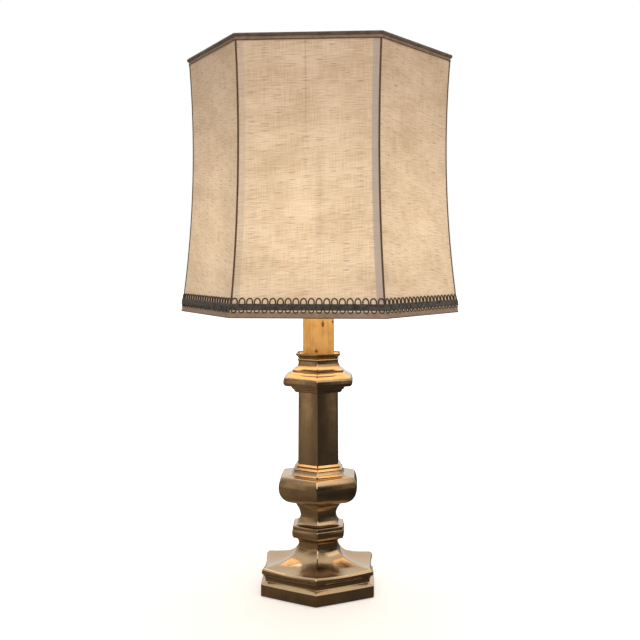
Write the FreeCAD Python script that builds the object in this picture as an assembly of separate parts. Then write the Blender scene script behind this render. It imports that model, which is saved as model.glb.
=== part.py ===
import FreeCAD, Part
import math
import os

# Candlestick table lamp: a stack of six-sided cast pieces on a threaded rod, a wax-coloured sleeve
# over the lampholder, and a waisted six-sided cloth shade clamped above the sleeve.
# Millimetres. Z is up and the origin is the middle of the base's underside. A corner of the
# six-sided stem points to -Y, the front, where the shade has a flat panel.

# ---- Clearances
SPIGOT_PLAY = 0.1        # radial, between a spigot and its socket
THREAD_PLAY = 0.05       # radial, between threads that turn on each other
TURN_GAP = 0.1           # axial, beside a piece that turns
ROD_PLAY = 0.3           # radial, between the rod and the castings' bores
DROP_PLAY = 0.2          # between a plate and the rebate that it drops into
SLEEVE_PLAY = 0.5        # radial, between the lampholder and the sleeve
CORE_PLAY = 0.2          # radial, round the lampholder's ceramic core
GLUE = 0.05              # film between the shade's skins and its wires

# ---- Foot (corner radii of the hexagon end in _R)
FOOT_R = 82.3
FOOT_LIFT = 0.8          # the rim's height over the table: the felt stands this proud
PLINTH_RISE = 14.5
BEVEL_RISE = 4.2
BEVEL_IN = 6.3
COVE_RISE = 10.0
COVE_BULGE = 1.2
RIM_SET_BACK = 0.3       # the rim's corner inside the plinth's
RIM_UNDERCUT = 1.4
RIM_RISE = 8.3
RIM_IN = 5.5
SWEEP_RISE = 22.2
FOOT_NECK_R = 28.5
FOOT_NECK_RISE = 3.0
FOOT_FLARE_RISE = 6.5
FOOT_SEAT_R = 32.4
FOOT_WALL = 6.4          # plinth wall, measured at the corner
FOOT_STEP_DEPTH = 16.0   # height of the wide part of the hollow
FOOT_STEP_IN = 6.5
FOOT_HOLLOW_DEPTH = 31.0
RIM_R = FOOT_R - RIM_SET_BACK
FOOT_CORES = ((44.0, 37.0), (30.0, 44.5), (19.0, 61.0))  # radius and top of each round hollow over it
REBATE_WALL = 4.4        # rim left outside the base plate, measured at the corner

# ---- Base plate, felt, weight and boss screws
FELT_THICK = 2.0
FELT_INSET = 0.7
PLATE_THICK = 1.5
BOSS_R = 4.5
BOSS_GAP = 3.5               # between the weight and the bosses
SCREW_R = 1.45
SCREW_HEAD_R = 3.0
SCREW_HEAD_RISE = 1.2
SCREW_LENGTH = 11.0
SCREW_SLOT = 0.8
WEIGHT_R = 50.0
WEIGHT_EDGE = 1.5
WEIGHT_THICK = 10.0
BOSS_CIRCLE_R = WEIGHT_R + BOSS_GAP + BOSS_R

# ---- Rod and its nuts
ROD_R = 5.0
ROD_BORE_R = 3.6
NUT_FLAT_R = 7.0         # half the width across the nut's flats
NUT_THICK = 4.0
WASHER_R = 12.0
WASHER_THICK = 1.5
ROD_TAIL = 2.0           # rod showing under the base nut

# ---- Spigots and sockets between the castings
SPIGOT_R = 12.0
SPIGOT_RISE = 3.0
SOCKET_EXTRA = 0.3

# ---- Lower ring with its waisted neck
RING_EDGE_R = 36.4
RING_TOP_R = 37.3
RING_RISE = 10.9
RING_BULGE = 1.3
BEAD_IN = 0.8
BEAD_RISE = 4.6
BEAD_BULGE = 0.6
WAIST_FLARE_R = 34.6
WAIST_R = 25.8
WAIST_LOW_RISE = 13.2
WAIST_HIGH_RISE = 13.8
WAIST_BULGE = 1.2
RING_SEAT_R = 31.8
RING_SEAT_RISE = 3.0

# ---- Knop
KNOP_R = 57.3
KNOP_UNDER_R = 42.5
KNOP_UNDER_RISE = 1.2
KNOP_LOW_RISE = 19.8
KNOP_LOW_BULGE = 4.3
KNOP_HIGH_RISE = 12.8
KNOP_HIGH_BULGE = 1.0
KNOP_TOP_R = 53.4
KNOP_EDGE_IN = 2.4
KNOP_EDGE_RISE = 1.2
KNOP_DISH_R = 40.5
KNOP_DISH_RISE = 0.6
KNOP_FLARE_RISE = 6.2
KNOP_SEAT_R = 35.2
KNOP_HOLLOW_R = 40.0
KNOP_FLOOR = 9.0
KNOP_HOLLOW_RISE = 24.0

# ---- Collar of two stepped rings
COLLAR_LOW_R = 35.8
COLLAR_HIGH_R = 32.9
COLLAR_GROOVE_R = 31.4
COLLAR_LIP = 0.9
COLLAR_SLOPE_RISE = 2.5
COLLAR_GROOVE_RISE = 1.0

# ---- Column
COLUMN_FOOT_R = 29.4
COLUMN_TOP_R = 28.6
COLUMN_RISE = 92.3
COLUMN_HOLLOW_R = 21.0
COLUMN_END_WALL = 7.0

# ---- Capital
OVOLO_LOW_R = 32.4
OVOLO_HIGH_R = 35.3
OVOLO_RISE = 4.0
OVOLO_STEP = 1.0
OVOLO_BULGE = 0.8
UPPER_OVOLO_R = 39.2
UPPER_OVOLO_RISE = 4.4
TORUS_UNDER_R = 46.6
TORUS_R = 50.3
TORUS_LOW_RISE = 5.2
TORUS_HIGH_RISE = 9.4
TORUS_BULGE = 1.3
TORUS_TOP_R = 42.0
SHOULDER_R = 37.0
SHOULDER_RISE = 3.0
SHOULDER_BULGE = 0.7
FILLET_RISE = 2.4
CAPITAL_NECK_R = 28.6
CAPITAL_SWEEP_RISE = 11.2
CAPITAL_BEAD_RISE = 3.2
CAPITAL_BEAD_BULGE = 1.1
CAPITAL_HOLLOW_R = 20.0
CAPITAL_END_WALL = 7.0

# ---- The bulb's E27 cap, whose crest sets the bores round it
CAP_CREST_R = 13.1
CAP_ROOT_R = 12.4
CAP_WALL = 0.4
CAP_THREADS = 5
THREAD_PITCH = 3.63
CAP_COLLAR_R = 13.9
CAP_COLLAR_RISE = 3.0

# ---- Lampholder, screw size E27
LINER_WALL = 0.5
LINER_RISE = 23.5
LINER_ROOM = 0.95            # radial, outside the side contact
CONTACT_STRIP = 0.6
CONTACT_WIDTH = 5.0
CONTACT_SPAN = 16.0
CONTACT_RISE = 4.0
LINER_R = CAP_CREST_R + THREAD_PLAY
HOLDER_BORE_R = LINER_R + LINER_WALL + CONTACT_STRIP + LINER_ROOM
HOLDER_WALL = 2.5
HOLDER_BASE_RISE = 16.0
HOLDER_BASE_WALL = 3.2
HOLDER_BASE_EDGE = 2.0
HOLDER_BOSS_RISE = 8.0
HOLDER_SHELL_BELOW = 22.0    # shell inside the sleeve
HOLDER_THREAD_WALL = 4.55
HOLDER_THREAD_R = HOLDER_BORE_R + HOLDER_THREAD_WALL
HOLDER_THREAD_RISE = 14.5
HOLDER_RIM_IN = 1.15
HOLDER_RIM_RISE = 2.0
HOLDER_FLANGE_RISE = 2.3
CORE_R = HOLDER_BORE_R - CORE_PLAY
CORE_RISE = 14.0
TERMINAL_OFFSET = 6.8
HOLDER_SCREW_R = 1.75
HOLDER_SCREW_HEAD_R = 3.0

# ---- Candle sleeve
SLEEVE_WALL = 1.8
SLEEVE_R = HOLDER_BORE_R + HOLDER_WALL + SLEEVE_PLAY + SLEEVE_WALL
SLEEVE_LENGTH = 72.8

# ---- Drip cup
CUP_ROOM = 3.0               # between the sleeve and the flats of the cup's floor
CUP_LIP_OUT = 4.2
CUP_FLARE_RISE = 4.4
CUP_FLARE_BULGE = -0.5
CUP_LIP_RISE = 2.0
CUP_WALL = 1.4
CUP_FLOOR = 1.6

# ---- Bulb, an A60
TIP_R = 4.0
TIP_RISE = 1.4
INSULATOR_RISE = 3.4
GLOBE_R = 30.0
BULB_LENGTH = 107.0
GLASS_THICK = 0.7
GLASS_NECK_IN = 0.2          # radial gap inside the cap's collar
NECK_JOIN_ANGLE = 40.0       # degrees under the equator where the neck leaves the globe
NECK_CONE_DROP = 9.5
NECK_LENGTH = 23.6
STEM_R = 3.0
STEM_RISE = 28.0
STEM_FLARE_R = 10.5
STEM_FLARE_RISE = 8.0
STEM_BEAD_OUT = 1.0          # bead at the stem's tip
STEM_BEAD_RISE = 2.0
STEM_CROWN_RISE = 1.0
FILAMENT_SPAN = 26.0
FILAMENT_RISE = 22.0
FILAMENT_R = 0.9
SUPPORT_R = 0.4

# ---- Shade ring nut and fitter
RING_NUT_WALL = 4.2
RING_NUT_FLANGE = 3.0
RING_NUT_FLANGE_RISE = 2.3
RING_NUT_RISE = 8.3
RING_NUT_BODY_R = HOLDER_THREAD_R + THREAD_PLAY + RING_NUT_WALL
RING_NUT_FLANGE_R = RING_NUT_BODY_R + RING_NUT_FLANGE
KNURL_COUNT = 24
KNURL_R = 0.9
FITTER_PLAY = 1.25
FITTER_SEAT = 3.0
FITTER_THICK = 2.0
FITTER_RIM = 2.0             # fitter outside the arms' middles
FITTER_HOLE_R = HOLDER_THREAD_R + FITTER_PLAY
ARM_WIRE_R = 1.5
ARM_STAND_OFF = 2.5          # between the ring nut's flange and the arms
ARM_FOOT_R = RING_NUT_FLANGE_R + ARM_STAND_OFF + ARM_WIRE_R
ARM_LEG_RISE = 12.0
ARM_LEVEL_RUN = 15.0
ARM_BEND_R = 9.0
ARM_COUNT = 3

# ---- Shade
SHADE_TOP_R = 165.5
SHADE_BOTTOM_R = 177.5
SHADE_HEIGHT = 321.5
SHADE_SAG = 9.5              # how far the struts curve in from straight
SHADE_BELOW_FITTER = 18.1
SHADE_TURN = -2.5            # degrees, how far the shade stands turned on its holder
COVER_THICK = 0.8
LINING_THICK = 0.6
STRUT_R = 1.6
STRUT_SPANS = 16             # lengths that each strut's arc is drawn in
RING_WIRE_R = 2.0
TRIM_RISE = 8.0
TRIM_PROUD = 0.9
CORD_RISE = 4.4
CORD_PROUD = 0.4             # the rolled cord's thickness at its upper and lower edge
CORD_BULGE = 1.1
HEM_RISE = 5.8
HEM_PROUD = 0.8
EDGE_THICK = 0.7             # of the tape and the hem, over the edge and inside it
ARM_HOLE_PLAY = 0.15
GIMP_RISE = 17.8
GIMP_PROUD = 1.8
TAPE_WIDTH = 9.0
TAPE_THICK = 0.4
TAPE_CLEAR = 5.0             # tape starts this far from the corner, clear of the strut
TAPE_SHORT = 1.5             # tape stops this far from the frame's rings

# ---- Cord inlet, terminal block and inner leads
INLET_TURN = 30.0            # degrees from +Y towards -X: the middle of a back face
INLET_RISE = 9.6
INLET_BORE_R = 3.6
INLET_BODY_R = 4.7
INLET_HEAD_R = 5.5
INLET_HEAD_THICK = 2.2
INLET_LIP_R = 5.4
INLET_LIP_LENGTH = 1.4
INLET_TAIL = 2.6
BLOCK_WIDTH = 20.0
BLOCK_DEPTH = 12.0
BLOCK_RISE = 14.0
BLOCK_CENTRE = 37.0
BLOCK_SCREW_R = 1.9
BLOCK_SCREW_LENGTH = 5.0
LEAD_R = 1.1
LEAD_OFFSET = 1.6            # the leads' distance each side of the rod's axis
LEAD_BEND_R = 4.0
LEAD_BLOCK_OFFSET = 4.5
LEAD_SPREAD_RISE = 5.0       # height over which the leads spread to their terminals
LEAD_END_RISE = 2.5

COS30 = math.cos(math.radians(30))
BIG = 400.0
Z_AXIS = FreeCAD.Vector(0, 0, 1)
ORIGIN = FreeCAD.Vector(0, 0, 0)

# ---- Heights, worked out from the pieces
PLATE_Z = FELT_THICK
RIM_BOTTOM_Z = FOOT_LIFT + PLINTH_RISE + BEVEL_RISE + COVE_RISE
RIM_TOP_Z = RIM_BOTTOM_Z + RIM_RISE
FOOT_NECK_Z = RIM_TOP_Z + SWEEP_RISE
FOOT_TOP_Z = FOOT_NECK_Z + FOOT_NECK_RISE + FOOT_FLARE_RISE
RING_TOP_Z = FOOT_TOP_Z + RING_RISE
BEAD_TOP_Z = RING_TOP_Z + BEAD_RISE
WAIST_Z = BEAD_TOP_Z + WAIST_LOW_RISE
RING_SEAT_Z = WAIST_Z + WAIST_HIGH_RISE
KNOP_Z = RING_SEAT_Z + RING_SEAT_RISE
KNOP_WIDE_Z = KNOP_Z + KNOP_UNDER_RISE + KNOP_LOW_RISE
KNOP_EDGE_Z = KNOP_WIDE_Z + KNOP_HIGH_RISE
KNOP_DISH_Z = KNOP_EDGE_Z + KNOP_EDGE_RISE + KNOP_DISH_RISE
COLLAR_Z = KNOP_DISH_Z + KNOP_FLARE_RISE
COLUMN_Z = COLLAR_Z + 2 * COLLAR_LIP + 2 * COLLAR_SLOPE_RISE + COLLAR_GROOVE_RISE
CAPITAL_Z = COLUMN_Z + COLUMN_RISE
TORUS_Z = CAPITAL_Z + OVOLO_RISE + UPPER_OVOLO_RISE
SHOULDER_Z = TORUS_Z + TORUS_LOW_RISE + TORUS_HIGH_RISE
FILLET_Z = SHOULDER_Z + SHOULDER_RISE
CAPITAL_NECK_Z = FILLET_Z + FILLET_RISE + CAPITAL_SWEEP_RISE
CUP_Z = CAPITAL_NECK_Z + CAPITAL_BEAD_RISE
CUP_FOOT_R = (SLEEVE_R + CUP_ROOM + CUP_WALL) / COS30
CUP_LIP_R = CUP_FOOT_R + CUP_LIP_OUT
CUP_FLOOR_Z = CUP_Z + CUP_FLOOR
CUP_RIM_Z = CUP_Z + CUP_FLARE_RISE + CUP_LIP_RISE
SLEEVE_TOP_Z = CUP_FLOOR_Z + SLEEVE_LENGTH
FLANGE_Z = SLEEVE_TOP_Z + TURN_GAP
FLANGE_TOP_Z = FLANGE_Z + HOLDER_FLANGE_RISE
SHELL_Z = FLANGE_Z - HOLDER_SHELL_BELOW
HOLDER_Z = SHELL_Z - HOLDER_BASE_RISE
HOLDER_TOP_Z = FLANGE_TOP_Z + HOLDER_THREAD_RISE + HOLDER_RIM_RISE
CORE_TOP_Z = SHELL_Z + CORE_RISE
TIP_Z = CORE_TOP_Z + CONTACT_RISE + GLUE
GLOBE_Z = TIP_Z + BULB_LENGTH - GLOBE_R
FITTER_Z = FLANGE_TOP_Z + TURN_GAP
RING_NUT_Z = FITTER_Z + FITTER_THICK + TURN_GAP
SHADE_Z = FITTER_Z - SHADE_BELOW_FITTER
SHADE_TOP_Z = SHADE_Z + SHADE_HEIGHT
WEIGHT_Z = FOOT_HOLLOW_DEPTH - WEIGHT_THICK
BASE_WASHER_Z = WEIGHT_Z - WASHER_THICK
BASE_NUT_Z = BASE_WASHER_Z - NUT_THICK
ROD_Z = BASE_NUT_Z - ROD_TAIL
ROD_TOP_Z = HOLDER_Z + HOLDER_BOSS_RISE


# ---- Shaping helpers
def at(radius, height):
    """Point of a profile, drawn in the XZ plane."""
    return FreeCAD.Vector(radius, 0, height)


def arc(start, end, bulge):
    """Arc between two profile points that stands out from its chord by bulge, to the right of the way."""
    run, rise = end[0] - start[0], end[1] - start[1]
    chord = math.hypot(run, rise)
    middle = ((start[0] + end[0]) / 2 + bulge * rise / chord, (start[1] + end[1]) / 2 - bulge * run / chord)
    return Part.Arc(at(*start), at(*middle), at(*end)).toShape()


def quarter(start, end):
    """Quarter ellipse that leaves start level and reaches end upright."""
    pull = 0.5523
    level = (start[0] + pull * (end[0] - start[0]), start[1])
    upright = (end[0], end[1] - pull * (end[1] - start[1]))
    curve = Part.BezierCurve()
    curve.setPoles([at(*start), at(*level), at(*upright), at(*end)])
    return curve.toShape()


def profile(start, steps):
    """Edges from start on: (r, z) is a line, (r, z, bulge) an arc, (r, z, "quarter") a sweep."""
    edges, here = [], start
    for step in steps:
        end = step[:2]
        if len(step) == 2:
            edges.append(Part.LineSegment(at(*here), at(*end)).toShape())
        elif step[2] == "quarter":
            edges.append(quarter(here, end))
        else:
            edges.append(arc(here, end, step[2]))
        here = end
    return edges, here


def flat(point):
    """The profile point with its corner radius turned into the hexagon's half width across flats."""
    return (point[0] * COS30,) + tuple(point[1:])


def hexagonal(start, *steps):
    """Six-sided solid, corners on the Y axis, whose corner radius follows the profile upwards."""
    edges, end = profile(flat(start), [flat(step) for step in steps])
    mirrored = [edge.mirror(ORIGIN, FreeCAD.Vector(1, 0, 0)) for edge in reversed(edges)]
    top = Part.LineSegment(at(*end), at(-end[0], end[1])).toShape()
    first = flat(start)
    bottom = Part.LineSegment(at(-first[0], first[1]), at(*first)).toShape()
    face = Part.Face(Part.Wire(Part.__sortEdges__(edges + [top] + mirrored + [bottom])))
    slab = face.extrude(FreeCAD.Vector(0, 2 * BIG, 0))
    slab.translate(FreeCAD.Vector(0, -BIG, 0))
    solid = slab
    for angle in (60, 120):
        other = slab.copy()
        other.rotate(ORIGIN, Z_AXIS, angle)
        solid = solid.common(other)
    return solid.Solids[0]


def lathe(start, *steps):
    """Solid of revolution about Z of a closed profile that starts and ends at the same point."""
    edges, _ = profile(start, list(steps) + [start])
    return Part.Face(Part.Wire(edges)).revolve(ORIGIN, Z_AXIS, 360)


def disc(radius, low, high, bore=0.0):
    """Upright round solid, with a bore if one is given."""
    solid = Part.makeCylinder(radius, high - low, at(0, low))
    return solid.cut(Part.makeCylinder(bore, high - low, at(0, low))) if bore else solid


def spun(shape, angle):
    """Copy turned about Z."""
    copy = shape.copy()
    copy.rotate(ORIGIN, Z_AXIS, angle)
    return copy


def rounded_path(points, bend):
    """Straight runs through the points, joined by tangent arcs of radius bend."""
    edges, here = [], points[0]
    for before, corner, after in zip(points, points[1:], points[2:]):
        back = (before - corner).normalize()
        ahead = (after - corner).normalize()
        half = back.getAngle(ahead) / 2
        reach = bend / math.tan(half)
        start, end = corner + back * reach, corner + ahead * reach
        middle = corner + (back + ahead).normalize() * (bend / math.sin(half) - bend)
        edges.append(Part.LineSegment(here, start).toShape())
        edges.append(Part.Arc(start, middle, end).toShape())
        here = end
    edges.append(Part.LineSegment(here, points[-1]).toShape())
    return Part.Wire(edges)


def tube(path, radius):
    """Round solid along a wire."""
    first = path.Edges[0]
    start = first.valueAt(first.FirstParameter)
    ring = Part.Wire(Part.makeCircle(radius, start, first.tangentAt(first.FirstParameter)))
    return path.makePipeShell([ring], True, False)


def group(shapes):
    """Separate solids kept together in one node."""
    return Part.makeCompound(shapes)


def stem_cast(body, low, high, spigot=True, socket=True):
    """A casting of the stem, bored for the rod, with a spigot on top and a socket under it."""
    if spigot:
        body = body.fuse(disc(SPIGOT_R, high - SPIGOT_RISE, high + SPIGOT_RISE))
    if socket:
        body = body.cut(disc(SPIGOT_R + SPIGOT_PLAY, low - 1, low + SPIGOT_RISE + SOCKET_EXTRA))
    return body.cut(disc(ROD_R + ROD_PLAY, low - 1, high + 2 * SPIGOT_RISE))


# ---- Foot and what it holds
def inlet_frame(shape):
    """Turns a shape built along +Y at the inlet's height to the back face that holds the inlet."""
    return spun(shape, INLET_TURN)


def along_inlet(radius, start, end):
    """Round bar along the inlet's axis, from start to end out from the lamp's axis."""
    bar = Part.makeCylinder(radius, end - start, FreeCAD.Vector(0, start, INLET_RISE), FreeCAD.Vector(0, 1, 0))
    return inlet_frame(bar)


def boss_places():
    """Middles of the base plate's screws, towards every other corner."""
    angles = [math.radians(-90 + 120 * n) for n in range(3)]
    return [(BOSS_CIRCLE_R * math.cos(a), BOSS_CIRCLE_R * math.sin(a)) for a in angles]


def foot():
    """Hollow casting with a bevelled plinth, a cove, a bullnose rim and a top swept up to its neck."""
    plinth_z = FOOT_LIFT + PLINTH_RISE
    bevel_z = plinth_z + BEVEL_RISE
    body = hexagonal(
        (FOOT_R, FOOT_LIFT),
        (FOOT_R, plinth_z),
        (FOOT_R - BEVEL_IN, bevel_z),
        (RIM_R - RIM_UNDERCUT, RIM_BOTTOM_Z, -COVE_BULGE),
        (RIM_R, RIM_BOTTOM_Z + RIM_UNDERCUT / 2),
        (RIM_R, RIM_BOTTOM_Z + RIM_RISE / 2),
        (RIM_R - RIM_IN, RIM_TOP_Z, RIM_UNDERCUT),
        (FOOT_NECK_R, FOOT_NECK_Z, "quarter"),
        (FOOT_NECK_R, FOOT_NECK_Z + FOOT_NECK_RISE),
        (FOOT_SEAT_R, FOOT_TOP_Z, -SPIGOT_PLAY * 8),
    )
    wide_r = FOOT_R - FOOT_WALL
    hollow = hexagonal((wide_r, 0), (wide_r, FOOT_STEP_DEPTH))
    hollow = hollow.fuse(hexagonal((wide_r - FOOT_STEP_IN, 0), (wide_r - FOOT_STEP_IN, FOOT_HOLLOW_DEPTH)))
    for radius, top in FOOT_CORES:
        hollow = hollow.fuse(disc(radius, 0, top))
    rebate_r = FOOT_R - REBATE_WALL
    plate_top = PLATE_Z + PLATE_THICK
    body = body.cut(hollow)
    for x, y in boss_places():
        boss = Part.makeCylinder(BOSS_R, FOOT_HOLLOW_DEPTH - plate_top, FreeCAD.Vector(x, y, plate_top))
        hole = Part.makeCylinder(SCREW_R + THREAD_PLAY, SCREW_LENGTH + 2, FreeCAD.Vector(x, y, plate_top - 1))
        body = body.fuse(boss).cut(hole)
    body = body.cut(hexagonal((rebate_r, 0), (rebate_r, plate_top)))
    body = body.cut(along_inlet(INLET_BODY_R + SPIGOT_PLAY, WEIGHT_R, FOOT_R))
    return stem_cast(body, FOOT_LIFT, FOOT_TOP_Z, socket=False)


def base_plate():
    """Steel cover of the foot's underside, countersunk for its three screws."""
    plate_r = FOOT_R - REBATE_WALL - DROP_PLAY / COS30
    body = hexagonal((plate_r, PLATE_Z), (plate_r, PLATE_Z + PLATE_THICK))
    for x, y in boss_places():
        place = FreeCAD.Vector(x, y, PLATE_Z)
        sink = Part.makeCone(SCREW_HEAD_R + SPIGOT_PLAY, SCREW_R + SPIGOT_PLAY, SCREW_HEAD_RISE, place)
        body = body.cut(sink).cut(Part.makeCylinder(SCREW_R + SPIGOT_PLAY, 2 * PLATE_THICK, place))
    return body


def base_felt():
    """Felt pad glued under the base plate, the face that the lamp stands on."""
    felt_r = FOOT_R - REBATE_WALL - FELT_INSET
    return hexagonal((felt_r, 0), (felt_r, FELT_THICK))


def plate_screws():
    """Three slotted countersunk screws."""
    screws = []
    for x, y in boss_places():
        place = FreeCAD.Vector(x, y, PLATE_Z)
        screw = Part.makeCone(SCREW_HEAD_R, SCREW_R, SCREW_HEAD_RISE, place)
        screw = screw.fuse(Part.makeCylinder(SCREW_R, SCREW_LENGTH, place))
        slot = Part.makeBox(2 * SCREW_HEAD_R, SCREW_SLOT, SCREW_SLOT)
        slot.translate(place + FreeCAD.Vector(-SCREW_HEAD_R, -SCREW_SLOT / 2, -SCREW_SLOT / 2))
        screws.append(screw.cut(slot))
    return group(screws)


def base_weight():
    """Cast iron disc clamped under the foot."""
    return lathe(
        (ROD_R + ROD_PLAY, WEIGHT_Z),
        (WEIGHT_R - WEIGHT_EDGE, WEIGHT_Z),
        (WEIGHT_R, WEIGHT_Z + WEIGHT_EDGE),
        (WEIGHT_R, FOOT_HOLLOW_DEPTH),
        (ROD_R + ROD_PLAY, FOOT_HOLLOW_DEPTH),
    )


def nut(low):
    """Thin hexagon nut on the rod."""
    corner = NUT_FLAT_R / COS30
    return hexagonal((corner, low), (corner, low + NUT_THICK)).cut(disc(ROD_R, low - 1, low + NUT_THICK + 1))


def cord_bushing():
    """Snap-in bush that the mains lead enters by; its head lies on the plinth's back face."""
    face = FOOT_R * COS30
    inner = (FOOT_R - FOOT_WALL) * COS30
    body = along_inlet(INLET_BODY_R, inner - INLET_TAIL, face)
    body = body.fuse(along_inlet(INLET_HEAD_R, face, face + INLET_HEAD_THICK))
    body = body.fuse(along_inlet(INLET_LIP_R, inner - INLET_LIP_LENGTH, inner))
    return body.cut(along_inlet(INLET_BORE_R, inner - 2 * INLET_TAIL, face + 2 * INLET_HEAD_THICK))


def block_places():
    """Offsets of the two terminals across the inlet's axis."""
    return (-LEAD_BLOCK_OFFSET, LEAD_BLOCK_OFFSET)


def terminal_block():
    """Two-way screw connector under the weight, between the inlet and the rod."""
    low = WEIGHT_Z - BLOCK_RISE
    body = Part.makeBox(BLOCK_WIDTH, BLOCK_DEPTH, BLOCK_RISE)
    body.translate(FreeCAD.Vector(-BLOCK_WIDTH / 2, BLOCK_CENTRE - BLOCK_DEPTH / 2, low))
    for x in block_places():
        well = Part.makeCylinder(BLOCK_SCREW_R + SPIGOT_PLAY, BLOCK_SCREW_LENGTH + 1,
                                 FreeCAD.Vector(x, BLOCK_CENTRE, low - 1))
        body = body.cut(well)
    return inlet_frame(body)


def terminal_screws():
    """The connector's two slotted clamp screws."""
    low = WEIGHT_Z - BLOCK_RISE
    screws = []
    for x in block_places():
        place = FreeCAD.Vector(x, BLOCK_CENTRE, low + SCREW_SLOT / 2)
        screw = Part.makeCylinder(BLOCK_SCREW_R, BLOCK_SCREW_LENGTH - SCREW_SLOT / 2, place)
        slot = Part.makeBox(2 * BLOCK_SCREW_R, SCREW_SLOT, SCREW_SLOT)
        slot.translate(place - FreeCAD.Vector(BLOCK_SCREW_R, SCREW_SLOT / 2, SCREW_SLOT / 4))
        screws.append(inlet_frame(screw.cut(slot)))
    return group(screws)


def lead(side):
    """Insulated wire from the block, under the rod's end and up through it to the lampholder."""
    level = ROD_Z - LEAD_BEND_R
    spread_z = SHELL_Z - LEAD_END_RISE
    halfway = FreeCAD.Vector(side * LEAD_OFFSET, 0, (level + spread_z) / 2)
    lower = [
        FreeCAD.Vector(side * LEAD_BLOCK_OFFSET, BLOCK_CENTRE - BLOCK_DEPTH / 2, level),
        FreeCAD.Vector(side * LEAD_OFFSET, 0, level),
        halfway,
    ]
    upper = [
        halfway,
        FreeCAD.Vector(side * LEAD_OFFSET, 0, spread_z - LEAD_SPREAD_RISE),
        FreeCAD.Vector(side * TERMINAL_OFFSET, 0, spread_z),
        FreeCAD.Vector(side * TERMINAL_OFFSET, 0, SHELL_Z),
    ]
    route = rounded_path(lower, LEAD_BEND_R).Edges + rounded_path(upper, LEAD_R * 2).Edges
    return inlet_frame(tube(Part.Wire(route), LEAD_R)).cut(terminal_block())


def stem_rod():
    """Hollow threaded rod through the whole stem."""
    return disc(ROD_R, ROD_Z, ROD_TOP_Z, ROD_BORE_R)


# ---- Stem castings
def lower_ring():
    """Ring moulding with a bead, and the waisted neck under the knop."""
    body = hexagonal(
        (RING_EDGE_R, FOOT_TOP_Z),
        (RING_TOP_R, RING_TOP_Z, RING_BULGE),
        (RING_TOP_R - BEAD_IN, RING_TOP_Z),
        (RING_TOP_R - BEAD_IN, BEAD_TOP_Z, BEAD_BULGE),
        (WAIST_FLARE_R, BEAD_TOP_Z),
        (WAIST_R, WAIST_Z, "quarter"),
        (RING_SEAT_R, RING_SEAT_Z, -WAIST_BULGE),
        (RING_SEAT_R, KNOP_Z),
    )
    return stem_cast(body, FOOT_TOP_Z, KNOP_Z)


def knop():
    """Bulging hollow knop with a flat shoulder and a flared seat for the collar."""
    under_z = KNOP_Z + KNOP_UNDER_RISE
    body = hexagonal(
        (RING_SEAT_R, KNOP_Z),
        (KNOP_UNDER_R, under_z),
        (KNOP_R, KNOP_WIDE_Z, KNOP_LOW_BULGE),
        (KNOP_TOP_R, KNOP_EDGE_Z, KNOP_HIGH_BULGE),
        (KNOP_TOP_R - KNOP_EDGE_IN, KNOP_EDGE_Z + KNOP_EDGE_RISE, KNOP_EDGE_RISE / 3),
        (KNOP_DISH_R, KNOP_DISH_Z),
        (KNOP_SEAT_R, COLLAR_Z, -KNOP_HIGH_BULGE),
    )
    low = KNOP_Z + KNOP_FLOOR
    body = body.cut(disc(KNOP_HOLLOW_R, low, low + KNOP_HOLLOW_RISE))
    return stem_cast(body, KNOP_Z, COLLAR_Z)


def knop_collar():
    """Two stepped rings between the knop and the column."""
    low_top = COLLAR_Z + COLLAR_LIP + COLLAR_SLOPE_RISE
    groove_top = low_top + COLLAR_GROOVE_RISE
    body = hexagonal(
        (COLLAR_LOW_R - COLLAR_LIP, COLLAR_Z),
        (COLLAR_LOW_R, COLLAR_Z + COLLAR_LIP),
        (COLLAR_HIGH_R, low_top),
        (COLLAR_GROOVE_R, low_top),
        (COLLAR_GROOVE_R, groove_top),
        (COLLAR_HIGH_R, groove_top + COLLAR_LIP),
        (COLUMN_FOOT_R, COLUMN_Z),
    )
    return stem_cast(body, COLLAR_Z, COLUMN_Z)


def column():
    """Plain hollow shaft, a little wider at its foot."""
    body = hexagonal((COLUMN_FOOT_R, COLUMN_Z), (COLUMN_TOP_R, CAPITAL_Z))
    body = body.cut(disc(COLUMN_HOLLOW_R, COLUMN_Z + COLUMN_END_WALL, CAPITAL_Z - COLUMN_END_WALL))
    return stem_cast(body, COLUMN_Z, CAPITAL_Z)


def capital():
    """Two ovolos, a wide torus, a shoulder and a swept neck with a bead."""
    upper_z = CAPITAL_Z + OVOLO_RISE
    wide_z = TORUS_Z + TORUS_LOW_RISE
    body = hexagonal(
        (OVOLO_LOW_R, CAPITAL_Z),
        (OVOLO_HIGH_R, upper_z, OVOLO_BULGE),
        (OVOLO_HIGH_R + OVOLO_STEP, upper_z),
        (UPPER_OVOLO_R, TORUS_Z, OVOLO_BULGE),
        (TORUS_UNDER_R, TORUS_Z),
        (TORUS_R, wide_z, TORUS_BULGE),
        (TORUS_TOP_R, SHOULDER_Z, 2 * TORUS_BULGE),
        (SHOULDER_R, FILLET_Z, SHOULDER_BULGE),
        (SHOULDER_R, FILLET_Z + FILLET_RISE),
        (CAPITAL_NECK_R, CAPITAL_NECK_Z, "quarter"),
        (CAPITAL_NECK_R, CUP_Z, CAPITAL_BEAD_BULGE),
    )
    body = body.cut(disc(CAPITAL_HOLLOW_R, CAPITAL_Z + CAPITAL_END_WALL, CUP_Z - CAPITAL_END_WALL))
    return stem_cast(body, CAPITAL_Z, CUP_Z, spigot=False)


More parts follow.
